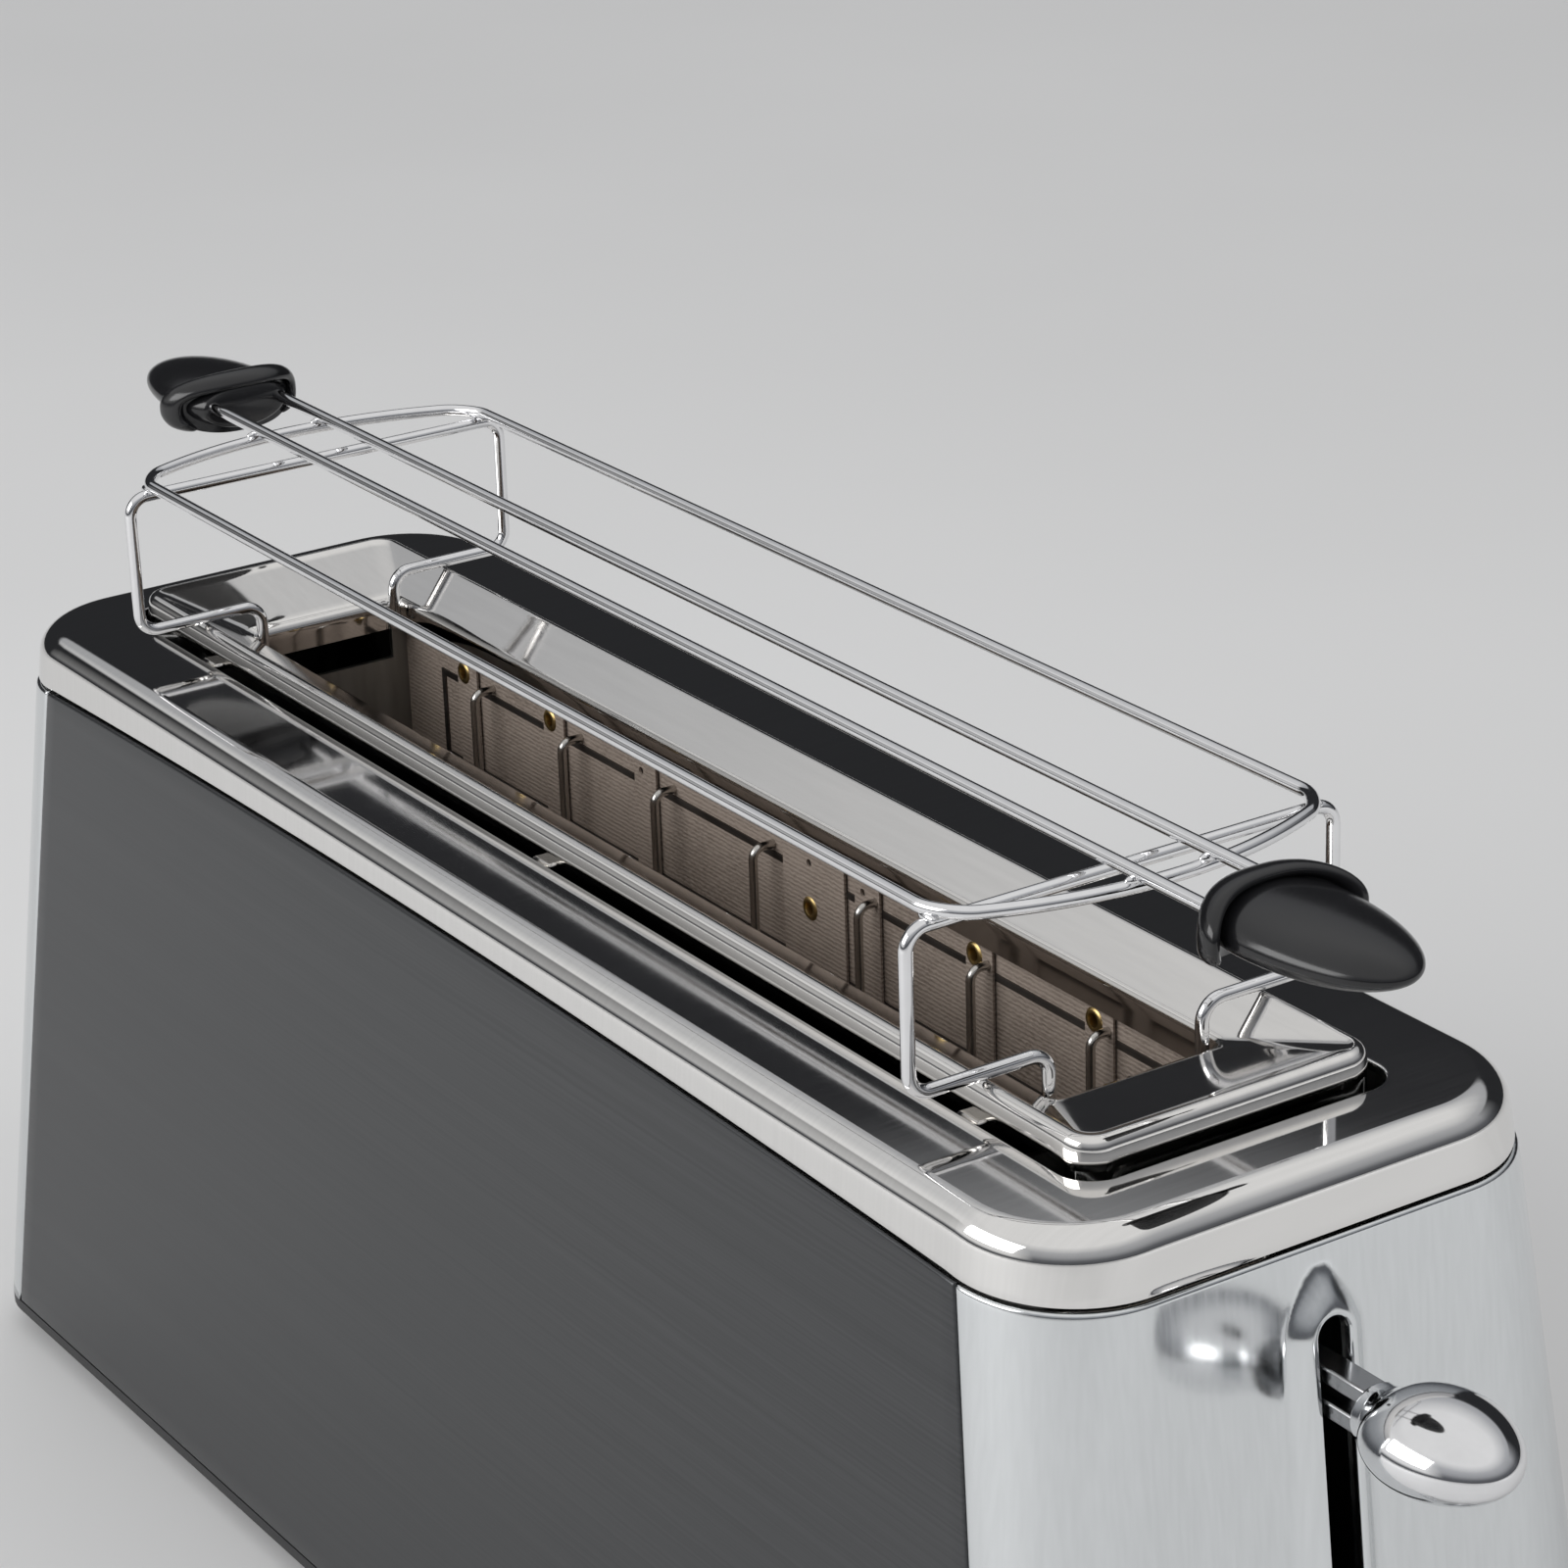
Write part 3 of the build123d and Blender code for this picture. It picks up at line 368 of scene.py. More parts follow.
def bent_path(corners, radius):
    """Straight runs joined by arcs: each corner gives way to an arc tangent to its two runs."""
    corners = [Vector(c) for c in corners]
    path = [corners[0]]
    for before, here, after in zip(corners, corners[1:], corners[2:]):
        back, on = (before - here).normalized(), (after - here).normalized()
        turn = pi - back.angle(on)
        reach = radius * np.tan(turn / 2)
        centre = here + (back + on).normalized() * (radius / cos(turn / 2))
        first, last = here + back * reach - centre, here + on * reach - centre
        sweep = np.linspace(0, turn, max(4, int(2 * radius * turn)))
        path += [centre + (first * sin(turn - a) + last * sin(a)) / sin(turn) for a in sweep]
    return np.array(path + [corners[-1]])


def wire(path, radius, across, sides=16, closed=False):
    """A circle carried along a path. Its frame is the tangent, a vector across, and their product.

    Open ends are closed by half-round caps: rows that shrink as cosine while they run out as sine.
    """
    path = np.asarray(path, float)
    if closed:
        along = np.roll(path, -1, 0) - np.roll(path, 1, 0)
    else:
        along = np.gradient(path, axis=0)
    along /= np.linalg.norm(along, axis=1, keepdims=True)
    size = np.full(len(path), radius)
    if not closed:
        cap = np.linspace(pi / 2, 0, 6)[:-1]
        out = radius * np.sin(cap)[:, None]
        path = np.vstack([path[0] - along[0] * out, path, path[-1] + along[-1] * out[::-1]])
        size = np.concatenate([radius * np.cos(cap), size, radius * np.cos(cap[::-1])])
        along = np.vstack([np.repeat(along[:1], 5, 0), along, np.repeat(along[-1:], 5, 0)])
    first = np.cross(np.asarray(across, float), along)
    first /= np.linalg.norm(first, axis=1, keepdims=True)
    second = np.cross(along, first)
    angle = np.linspace(0, 2 * pi, sides, endpoint=False)
    ring = np.cos(angle)[None, :, None] * first[:, None] + np.sin(angle)[None, :, None] * second[:, None]
    return path[:, None] + size[:, None, None] * ring, grid_faces(len(path), sides, closed, True)


guard_steel = steel("guard_wire", (0.6, 0.58, 0.55), 0.16, (400, 400, 60), 0.2, 0.1, 0.1)
for side, sign in (("near", -1), ("far", 1)):
    wires = []
    for x in range(-108, 109, 36):
        corners = [(x, sign * y, z) for y, z in ((21.4, 30), (16.6, 30), (16.6, 162), (21.4, 162))]
        wires.append(wire(bent_path(corners, 2.2), 0.9, (1, 0, 0), 12))
    make_piece(side + "_bent_guards", wires, guard_steel, "body", "guard_steel", side + "_guard_wires")

# Lift gear: a plate that runs on a ground rod, carries the bread rail and the lever's two prongs,
# and is pulled up by a coil spring that stretches from the bracket. Plated sheet and bright wire.
softened("lever_carriage", plated_sheet, 0.3)
softened("guide_rod_bracket", plated_sheet, 0.25)
softened("bread_lifter", guard_steel, 0.2)
prong_steel = steel("prong_steel", (0.42, 0.42, 0.43), 0.14, (60, 500, 500), 0.15, 0.05, 0.05)
softened("lever_arm", prong_steel, 0.45)
dress(guard_steel, "guide_rod")
spring_low, spring_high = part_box("lift_spring")
spring_mid = (spring_low + spring_high) * 500.0
turns, coil_radius = 34, 3.45
winding = np.linspace(0, 1, turns * 18)
coil = np.stack(
    [
        spring_mid.x - middle_x + coil_radius * np.cos(2 * pi * turns * winding),
        spring_mid.y + coil_radius * np.sin(2 * pi * turns * winding),
        spring_low.z * 1000 + 0.6 + (spring_high.z - spring_low.z - 0.0012) * 1000 * winding,
    ],
    -1,
)
make_piece(
    "spring_turns", [wire(coil, 0.5, (0, 0, 1), 8)], guard_steel, "carriage", "guard_steel", "lift_spring",
    stretch=(spring_low, (spring_low.x, spring_low.y, spring_high.z)),
)

# Hold-down magnet, main switch and terminals: bought-in parts on the base and the chassis plate.
# Soft iron, a taped copper coil, moulded blocks, spring leaves and plated screws.
iron = steel("magnet_iron", (0.2, 0.2, 0.2), 0.4, (300, 300, 300), 0.2, 0.1, 0.1)
softened("armature_plate", iron, 0.2)
softened("magnet_core", iron, 0.2)
coil_finish = Finish("coil_winding")
layers = bands(coil_finish, 400.0)
coil_finish.feed("Base Color", coil_finish.between(layers, (0.16, 0.05, 0.02), (0.42, 0.16, 0.06)))
coil_finish.feed("Roughness", coil_finish.sum(0.3, (layers, 0.2)))
coil_finish.relief(layers, 0.8, 0.0002)
dress(coil_finish.material, "magnet_coil")
switch_plastic = moulded_plastic("switch_moulding", (0.055, 0.05, 0.045), 0.5, 1200.0, 0.3)
softened("switch_block", switch_plastic, 0.5)
softened("terminal_block", switch_plastic, 0.3)
dress(brass, "switch_leaves")
dress(plated_screw, "terminal_screws")

# Control board: a green laminate card on four posts behind the lever end,
# with the potentiometer of the browning dial and three push switches soldered on it.
card = Finish("board_laminate")
tracks = card.tree.nodes.new("ShaderNodeTexBrick")
tracks.inputs["Scale"].default_value = 160.0
tracks.inputs["Color1"].default_value = (0.012, 0.075, 0.03, 1)
tracks.inputs["Color2"].default_value = (0.016, 0.095, 0.04, 1)
tracks.inputs["Mortar"].default_value = (0.03, 0.16, 0.07, 1)
card.tree.links.new(card.place, tracks.inputs["Vector"])
card.feed("Base Color", tracks.outputs["Color"])
card.feed("Roughness", card.sum(0.3, (card.effect(handling_marks, Size=60.0), 0.2)))
dress(card.material, "control_board")
softened("button_switches", switch_plastic, 0.3)
dress(switch_plastic, "dial_potentiometer")
dress(black_plastic, "board_posts")
dress(plated_sheet, "dial_shaft")

# Side panels: flat steel sheets with a slight flare, edges rolled in at the seams.
# Brushed along their length, then lacquered in translucent dark grey.
lacquer = Finish("brushed_lacquer", metallic=1.0)
hairlines = lacquer.effect(drawn_lines, Stretch=(8, 1500, 1900))
broad_lines = lacquer.effect(drawn_lines, Stretch=(4, 160, 200))
lacquer.feed("Base Color", lacquer.between(hairlines, (0.062, 0.064, 0.067), (0.082, 0.084, 0.088)))
lacquer.feed("Roughness", lacquer.sum(0.31, (hairlines, 0.08), (broad_lines, 0.03)))
lacquer.relief(hairlines, 0.08, 0.00002)
lacquer.shader.inputs["Coat Weight"].default_value = 0.25
lacquer.shader.inputs["Coat Roughness"].default_value = 0.12
dark_lacquer = lacquer.material

foot_z, parting_z, arch_height = 8.5, 162.0, 3.0
foot_size, parting_size = (206.0, 66.5, 16.0), (189.5, 55.0, 22.5)
seam_x = parting_size[0] - parting_size[2]
arch_radius = (seam_x**2 + arch_height**2) / (2 * arch_height)


def flare(z):
    """Half length, half width and corner radius of the body at height z, each straight in z."""
    up = (z - foot_z) / (parting_z - foot_z)
    return [low + (high - low) * up for low, high in zip(foot_size, parting_size)]


def arch(x):
    """Height of the parting line at x: a circle's arc, highest in the middle."""
    return parting_z + arch_height - arch_radius + np.sqrt(arch_radius**2 - x**2)


# Gaps along the seams, and a rolled sheet edge as insets from the edge and depths below the face
seam_gap, side_gap = 0.3, 0.2
roll_inset = np.array([0, 0, 0.08, 0.28, 0.65])
roll_depth = np.array([1.2, 0.65, 0.28, 0.08, 0])


def rolled(low, high, count):
    """Places from low to high with a rolled edge at both, and the depth below the face at each."""
    inside = np.linspace(low + 0.65, high - 0.65, count)[1:-1]
    place = np.concatenate([low + roll_inset, inside, high - roll_inset[::-1]])
    depth = np.concatenate([roll_depth, np.zeros(count - 2), roll_depth[::-1]])
    return place, depth


def solid_sheet(piece):
    """Give an open sheet a wall of 0.4 mm, inwards."""
    wall = piece.modifiers.new("wall", "SOLIDIFY")
    wall.thickness = 0.0004
    wall.offset = -1


for side, sign in (("near", -1), ("far", 1)):
    share, share_depth = rolled(-seam_x, seam_x, 90)
    rise, rise_depth = rolled(0.0, 153.0, 40)
    grid_share, grid_rise = np.meshgrid(share / seam_x, rise / 153.0, indexing="ij")
    top = arch(grid_share * seam_x) - seam_gap
    z = foot_z + grid_rise * (top - foot_z)
    length, width, radius = flare(z)
    x = grid_share * (length - radius - side_gap)
    y = sign * (width - np.minimum(1.2, share_depth[:, None] + rise_depth[None, :]))
    sheet = (np.stack([x, y, z], -1), grid_faces(*x.shape))
    panel = make_piece(
        side + "_lacquered_side", [sheet], dark_lacquer, "body", "dark_lacquer",
        side + "_side_panel", outward=(0, sign, 0),
    )
    solid_sheet(panel)

# End panels: polished steel wrapped round both corners, with the top edge rolled in.
# The lever end has a pressed pointed boss round the lever slot and holes for the controls;
# the cord end has a round hole for the inlet and a mouth for the crumb tray.
satin_steel = steel("polished_end", (0.74, 0.76, 0.77), 0.11, (900, 900, 14), 0.06, 0.05, 0.04)
end_tilt = atan((foot_size[0] - parting_size[0]) / (parting_z - foot_z))
control_z, dial_y, button_y = 40.0, 24.0, (-8.0, -21.5, -35.0)


def graded(lines, step):
    """All the given lines, with even steps of at most step between neighbours."""
    pairs = zip(lines, lines[1:])
    runs = [np.linspace(a, b, max(2, int(np.ceil((b - a) / step)) + 1))[:-1] for a, b in pairs]
    return np.concatenate(runs + [[lines[-1]]])


def end_panel(sign, holes, top_line, mouth=None):
    """Grid of columns (near corner arc, flat, far corner arc) by rows (heights) on the flared body.

    A hole is its y and z, radius, half length of its centre line, window and boss height. Cells
    inside its window are left out, and rings fill the window: each border point is joined by a
    straight ray to the nearest point of the hole's centre line, and the rings stand at set
    distances along that ray, raised by the boss and turned in at the hole's edge. A mouth is a
    notch in the foot, given by its half width and height.
    """
    flat_reference = flare(control_z)[1] - flare(control_z)[2]
    still = 22.0  # columns nearer to the middle than this don't spread with the flare
    windows = np.array([hole[4] for hole in holes])
    y_lines, z_lines = [-still, still, *windows[:, :2].flat], [top_line, *windows[:, 2:].flat]
    if mouth:
        y_lines, z_lines = y_lines + [-mouth[0], mouth[0]], z_lines + [mouth[1]]
    arc = np.concatenate([np.zeros(5), np.linspace(0, 1, 22)[1:-1]])
    edge = np.concatenate([roll_inset, np.zeros(20)])
    edge_depth = np.concatenate([roll_depth, np.zeros(20)])
    flat = graded([-flat_reference, *np.unique(y_lines), flat_reference], 3.0)
    count = len(flat)
    bend = np.concatenate([1 - arc, np.zeros(count), 1 - arc[::-1]])
    inset = np.concatenate([edge, np.zeros(count), edge[::-1]])
    depth_col = np.concatenate([edge_depth, np.zeros(count), edge_depth[::-1]])
    hand = np.concatenate([-np.ones(len(arc)), np.sign(flat), np.ones(len(arc))])
    flat = np.concatenate([np.full(len(arc), -flat_reference), flat, np.full(len(arc), flat_reference)])
    heights = graded([foot_z, *np.unique(z_lines)], 3.5)
    top_drop = np.array([0.65, 0.28, 0.08, 0, 0])
    rows = len(heights) + 5
    depth_row = np.concatenate([np.zeros(len(heights)), roll_depth[::-1]])

    def lay(z, depth):
        """Points of the grid at heights z, let in by depth along the plan's normal."""
        length, width, radius = flare(z)
        angle = bend * (pi / 2) - np.where(bend > 0, (side_gap + inset) * (bend > 0.999) / radius, 0)
        room = (width - radius - still) / (flat_reference - still)
        y_flat = np.where(np.abs(flat) > still, hand * (still + (np.abs(flat) - still) * room), flat)
        x = length - radius + (radius - depth) * np.cos(angle)
        y = y_flat + hand * (radius - depth) * np.sin(angle)
        return x, y

    z = np.concatenate([np.repeat(heights[:, None], len(flat), 1), np.full((5, len(flat)), 160.8)])
    depth = np.minimum(1.2, depth_row[:, None] + depth_col[None, :])
    x, y = lay(z, depth)
    z[-5:] = arch(x[-5:]) - seam_gap - top_drop[:, None]
    x, y = lay(z, depth)
    grid = np.stack([sign * x, y, z], -1)
    keep = np.ones((rows - 1, len(flat) - 1), bool)
    row_mid = np.concatenate([(heights[1:] + heights[:-1]) / 2, np.full(5, np.inf)])
    col_mid = np.where(np.abs(bend[1:]) + np.abs(bend[:-1]) > 0, np.inf, (flat[1:] + flat[:-1]) / 2)
    parts = []
    normal = np.array([sign * cos(end_tilt), 0, sin(end_tilt)])
    for centre_y, centre_z, radius, straight, window, boss in holes:
        y0, y1, z0, z1 = window
        keep &= ~np.outer((row_mid > z0) & (row_mid < z1), (col_mid > y0) & (col_mid < y1))
        r0, r1 = np.searchsorted(heights, [z0 - 0.01, z1 - 0.01])
        flat_cols = np.flatnonzero(bend == 0)
        c0 = flat_cols[np.searchsorted(flat[flat_cols], y0 - 0.01)]
        c1 = flat_cols[np.searchsorted(flat[flat_cols], y1 - 0.01)]
        border = np.concatenate([grid[r0, c0:c1], grid[r0:r1, c1], grid[r1, c1:c0:-1], grid[r1:r0:-1, c0]])
        offset = border[:, 1:] - (centre_y, centre_z)
        centre = np.stack([np.zeros(len(border)), np.clip(offset[:, 1], -straight, straight)], -1)
        ray = offset - centre
        reach = np.linalg.norm(ray, axis=1, keepdims=True)
        ray /= reach
        centre = centre + (centre_y, centre_z)
        lip = 1.0 if boss else 0.4
        near = lip * np.array([0, 0, 0.1, 0.4, 1.0])
        drop = np.array([-2.6 if boss else -1.2, -lip, -0.4 * lip, -0.1 * lip, 0])
        spread = np.linspace(0, 1, 22 if boss else 6)[1:] ** 1.4
        distance = np.concatenate(
            [np.repeat(near[:, None], len(border), 1), lip + spread[:, None] * (reach.T - radius - lip)]
        )
        # The boss's outline is a pointed leaf: 8 mm out at the sides, 12.7 mm beyond the line's end
        leaf = (np.abs(ray[:, 0]) / 8.0) ** 1.25 + (np.abs(ray[:, 1]) / 12.7) ** 1.25
        foot = leaf**-0.8 - radius
        share = np.clip((distance - 0.6) / foot, 0, 1)
        lift = boss * (0.5 + 0.5 * np.cos(pi * share))
        lift[:5] += drop[:, None]
        place = centre[None] + ray[None] * (radius + distance[..., None])
        ring = np.stack([sign * flare(place[..., 1])[0], place[..., 0], place[..., 1]], -1)
        ring = ring + lift[..., None] * normal
        ring[-1] = border
        parts.append((ring, grid_faces(*ring.shape[:2], wrap_cols=True)))
    if mouth:
        keep &= ~np.outer(row_mid < mouth[1], np.abs(col_mid) < mouth[0])
    return [(grid, grid_faces(*grid.shape[:2])[keep.reshape(-1)])] + parts


lever_holes = [(0.0, 112.5, 3.2, 33.4, (-22.0, 22.0, 58.0, 159.9), 3.2)]
for y, radius, room in [(dial_y, 3.3, 10.0)] + [(y, 5.4, 6.75) for y in button_y]:
    window = (y - room, y + room, control_z - room, control_z + room)
    lever_holes.append((y, control_z, radius, 0.0, window, 0.0))
lever_skin = end_panel(1, lever_holes, 159.9)
gland_y, gland_z = -30.0, 34.0
cord_hole = (gland_y, gland_z, 6.5, 0.0, (-39.0, -22.0, 25.0, 43.0), 0.0)
cord_skin = end_panel(-1, [cord_hole], 158.5, (33.5, 16.3))
for end, sign, skin in (("lever", 1, lever_skin), ("cord", -1, cord_skin)):
    panel = make_piece(
        end + "_end_skin", skin, satin_steel, "body", "satin_steel", end + "_end_panel", outward=(sign, 0, 0)
    )
    solid_sheet(panel)

# Controls: a fluted steel dial with a grip bar, and three round push buttons with dished caps.
# They stand square to the sloping lever end, over their own shafts and stems.
dial_steel = steel("turned_dial", (0.7, 0.71, 0.72), 0.16, (600, 600, 600), 0.12, 0.08, 0.06)
panel_out = np.array([cos(end_tilt), 0, sin(end_tilt)])
panel_up = np.array([-sin(end_tilt), 0, cos(end_tilt)])
panel_across = np.array([0.0, 1.0, 0.0])


def on_panel(y, z):
    """The point of the lever end's face at y and height z."""
    return np.array([flare(z)[0], y, z])


def dial_face(radius_rows, height_rows):
    """Polar grid of rows of radius and height. The rim is fluted, and a bar rises across the face."""
    angle = np.linspace(0, 2 * pi, 180, endpoint=False)[None, :]
    radius = np.asarray(radius_rows)[:, None] * np.ones_like(angle)
    height = np.asarray(height_rows)[:, None] * np.ones_like(angle)
    flute = 0.22 * np.cos(36 * angle) * (radius > 14.6) * (height > 1.0)
    across, along = radius * np.cos(angle), radius * np.sin(angle)
    bar = np.clip((2.9 - np.abs(across)) / 0.8, 0, 1) * np.clip((13.4 - np.abs(along)) / 0.9, 0, 1)
    bar = bar * bar * (3 - 2 * bar)
    height = height + 4.0 * bar * (height > 7.9)
    radius = radius - np.abs(flute)
    return dial_centre + (
        height[..., None] * panel_out
        + (radius * np.cos(angle))[..., None] * panel_across
        + (radius * np.sin(angle))[..., None] * panel_up
    )


dial_centre = on_panel(dial_y, control_z)
rim_radius = [3.0, 14.2, 14.9, 15, 15, 15, 14.9, 14.6, 14.1, 13.6]
rim_height = [0.5, 0.5, 0.6, 1.2, 3.5, 6.4, 7.1, 7.6, 7.9, 8.0]
dial_points = dial_face(rim_radius + np.linspace(13.4, 0, 48).tolist(), rim_height + [8.0] * 48)
dial = (dial_points, grid_faces(*dial_points.shape[:2], wrap_cols=True))
make_piece("fluted_dial", [dial], dial_steel, "dial", "dial_steel", "browning_dial")
button_profile = [(0, -9.2), (2, -9.2), (2, -3.1), (6.4, -3.1), (6.4, -1.5), (5, -1.5), (5, 2.1), (4.85, 2.6)]
button_profile += [(4.45, 2.93), (4, 3), (3, 2.86), (1.6, 2.74), (0, 2.7)]
for y, name in zip(button_y, ("cancel", "defrost", "reheat")):
    cap = turned(button_profile, on_panel(y, control_z), panel_out, 56)
    make_piece(name + "_cap", [cap], dial_steel, name, "dial_steel", name + "_button")

# Scale of the dial: raised black ticks and the numbers 1 to 6, fixed on the steel of the lever end.
# Moulded in thin plastic; the numbers grow clockwise from the lower left.
scale_black = moulded_plastic("scale_black", (0.02, 0.02, 0.022), 0.45, 1500.0, 0.1)
ticks = []
for angle in np.radians(np.arange(-135, 136, 27)):
    ray = sin(angle) * panel_across + cos(angle) * panel_up
    ticks.append(wire(dial_centre + np.linspace(16.4, 18.2, 4)[:, None] * ray, 0.22, panel_out, 10))
make_piece("dial_ticks", ticks, scale_black, "body", "black_plastic")
square_to_panel = Matrix((panel_across, panel_up, panel_out)).transposed().to_4x4()
work = bmesh.new()
for number in range(1, 7):
    angle = radians(54.0 * number - 189.0)
    spot = dial_centre + 20.8 * (sin(angle) * panel_across + cos(angle) * panel_up)
    digit = bpy.data.curves.new("digit", "FONT")
    digit.body = str(number)
    digit.size = 0.004
    digit.align_x, digit.align_y = "CENTER", "CENTER"
    digit.extrude = 0.00006
    carrier = bpy.data.objects.new("digit", digit)
    flat = bpy.data.meshes.new_from_object(carrier)
    flat.transform(Matrix.Translation(Vector((spot + (middle_x, 0, 0)) * 0.001)) @ square_to_panel)
    work.from_mesh(flat)
    bpy.data.objects.remove(carrier)
    bpy.data.meshes.remove(flat)
numbers_mesh = bpy.data.meshes.new("dial_numbers")
work.to_mesh(numbers_mesh)
work.free()
numbers_mesh.materials.clear()
numbers_mesh.materials.append(scale_black)
numbers = add_object("dial_numbers", numbers_mesh)
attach(numbers, "body")

# Lever knob: a solid chromed egg, longer than it is wide, drawn down to a neck that grips the prongs.
# Cast and plated; the chrome is smooth enough to mirror the panel behind it.
chrome = steel("bright_chrome", (0.82, 0.82, 0.83), 0.05, (250, 250, 250), 0.05, 0.02, 0.03)
run = 0.5 - 0.5 * np.cos(np.linspace(0, pi, 80))
knob_start, knob_length, lever_z, egg_x, egg_half_length = 203.75, 31.4, 137.0, 220.7, 14.45
knob_x = knob_start + knob_length * run
turn = np.linspace(0, 2 * pi, 64, endpoint=False)[None, :]
# An egg, fuller towards the panel, joined to a fading neck by the cube root of the sum of cubes
along = (knob_x - egg_x) / egg_half_length
egg = np.sqrt(np.clip(1 - along**2, 0, 1)) * (1 - 0.1 * along)
fade = np.clip((knob_x - 206.0) / 7.0, 0, 1)
neck = (1 - fade * fade * (3 - 2 * fade)) * np.sqrt(np.clip(run / 0.02, 0, 1))
half_wide = np.cbrt((12.0 * egg) ** 3 + (5.4 * neck) ** 3)[:, None]
half_thick = np.cbrt((8.1 * egg) ** 3 + (5.2 * neck) ** 3)[:, None]
lift = np.clip((knob_x - 204.0) / 9.0, 0, 1)
knob_points = np.stack(
    [
        knob_x[:, None] + 0 * turn,
        half_wide * np.cos(turn),
        (lever_z + 1.4 * lift * lift * (3 - 2 * lift))[:, None] + half_thick * np.sin(turn),
    ],
    -1,
)
knob = (knob_points, grid_faces(80, 64, wrap_cols=True))
make_piece("egg_knob", [knob], chrome, "carriage", "chrome", "lever_knob")

# Cord end fittings: a black moulded gland for the lead, and the crumb tray of folded sheet
# with a finger grip along its front edge, slid in under the heaters.
gland_axis = np.array([-cos(end_tilt), 0, sin(end_tilt)])
gland_place = (-flare(gland_z)[0], gland_y, gland_z)
gland_profile = [(3.6, -14), (6.5, -14), (6.5, 0), (9.5, 0), (9.5, 1.5), (9.1, 2.5), (8.2, 3), (5.4, 3)]
gland_profile += [(4.4, 2.8), (3.8, 2.2), (3.6, 1.4)]
gland = turned(gland_profile, gland_place, gland_axis, 56, True)
make_piece("moulded_gland", [gland], black_plastic, "body", "black_plastic", "cord_gland")
tray_steel = steel("tray_sheet", (0.55, 0.55, 0.54), 0.3, (40, 700, 700), 0.15, 0.1, 0.1)
softened("crumb_tray", tray_steel, 0.45)

# Top cover: one deep-drawn pressing in mirror-polished steel, flat on top with a round outer edge.
# Its skirt follows the arched parting line, and the slot's opening is flanged down all round.
mirror_steel = steel("mirror_polish", (0.8, 0.79, 0.775), 0.035, (1300, 30, 60), 0.04, 0.006, 0.02)


def rounded_ring(half_length, half_width, radius, corner=22, long_run=120, short_run=30):
    """Rounded rectangles, one for each row: four quarter circles and the straight runs between them.

    x = (half length - radius) * p + radius * c and y likewise, with p, q, c, s the same for each row.
    """
    quarter = np.linspace(0, pi / 2, corner)
    p, q, c, s = [], [], [], []
    corners = ((1, 1, long_run), (-1, 1, short_run), (-1, -1, long_run), (1, -1, short_run))
    for turn, (px, py, run) in enumerate(corners):
        angle = quarter + turn * pi / 2
        straight = np.linspace(1, -1, run)[1:-1]
        along_x = turn % 2 == 0
        p.append(np.concatenate([np.full(corner, px), straight * px if along_x else np.full(run - 2, px)]))
        q.append(np.concatenate([np.full(corner, py), np.full(run - 2, py) if along_x else straight * py]))
        c.append(np.concatenate([np.cos(angle), np.full(run - 2, np.cos(angle[-1]))]))
        s.append(np.concatenate([np.sin(angle), np.full(run - 2, np.sin(angle[-1]))]))
    p, q, c, s = (np.concatenate(v)[None, :] for v in (p, q, c, s))
    return (half_length - radius) * p + radius * c, (half_width - radius) * q + radius * s


def column(values):
    """Values as a column, one for each row of points."""
    return np.asarray(values, float)[:, None]


cover_top, edge_radius = 173.5, 5.0
edge_turn = np.linspace(pi / 2, 0, 16)
# Rows inside the rim: flanged opening edge, then the flat land with rows held close to its borders
land = np.concatenate([[0, 0, 0, 0.003, 0.012, 0.03, 0.06], np.linspace(0.1, 0.94, 8), [0.98, 0.995]])
land_z = np.concatenate([[171.9, 172.7, 173.1, 173.38, 173.49], np.full(12, cover_top)])
edge_z = cover_top - edge_radius + edge_radius * np.sin(edge_turn)
edge_inset = 0.4 + edge_radius * (1 - np.cos(edge_turn))
length, width, radius = flare(edge_z)
border = [length[0] - edge_inset[0], width[0] - edge_inset[0], radius[0] - edge_inset[0]]
opening = (171.8, 33.0, 7.0)
land_sizes = [column(o + (b - o) * land) for o, b in zip(opening, border)]
x_land, y_land = rounded_ring(*land_sizes)
x_edge, y_edge = rounded_ring(*(column(size - edge_inset) for size in (length, width, radius)))
# Skirt down to the arched line, a small turned-in edge, then up the inside to the ceiling
skirt = column([0.25, 0.5, 0.75, 0.92, 1, 1, 1, 0.6, 0])
skirt_inset = column([0.4, 0.4, 0.4, 0.4, 0.5, 0.8, 2.0, 2.0, 2.0])
skirt_lift = column([0, 0, 0, 0, 0.15, 0, 0, 0, 0])
skirt_z = edge_z[-1] + skirt * (arch(x_edge[-1:]) + seam_gap - edge_z[-1]) + skirt_lift
x_skirt, y_skirt = rounded_ring(*(size - skirt_inset for size in flare(skirt_z)))
x_roof, y_roof = rounded_ring(column([185.6, 183.0]), column([51.4, 48.9]), column([20.0, 17.5]))
rows_x = np.vstack([x_land, x_edge, x_skirt, x_roof])
rows_y = np.vstack([y_land, y_edge, y_skirt, y_roof])
roof_z = column([170.9, 171.9]) + 0 * x_roof
rows_z = np.vstack([column(land_z) + 0 * x_land, column(edge_z) + 0 * x_edge, skirt_z, roof_z])
cover = np.stack([rows_x, rows_y, rows_z], -1)
make_piece(
    "pressed_cover", [(cover, grid_faces(*cover.shape[:2], True, True))], mirror_steel,
    "body", "mirror_steel", "top_cover", sharp=50.0,
)

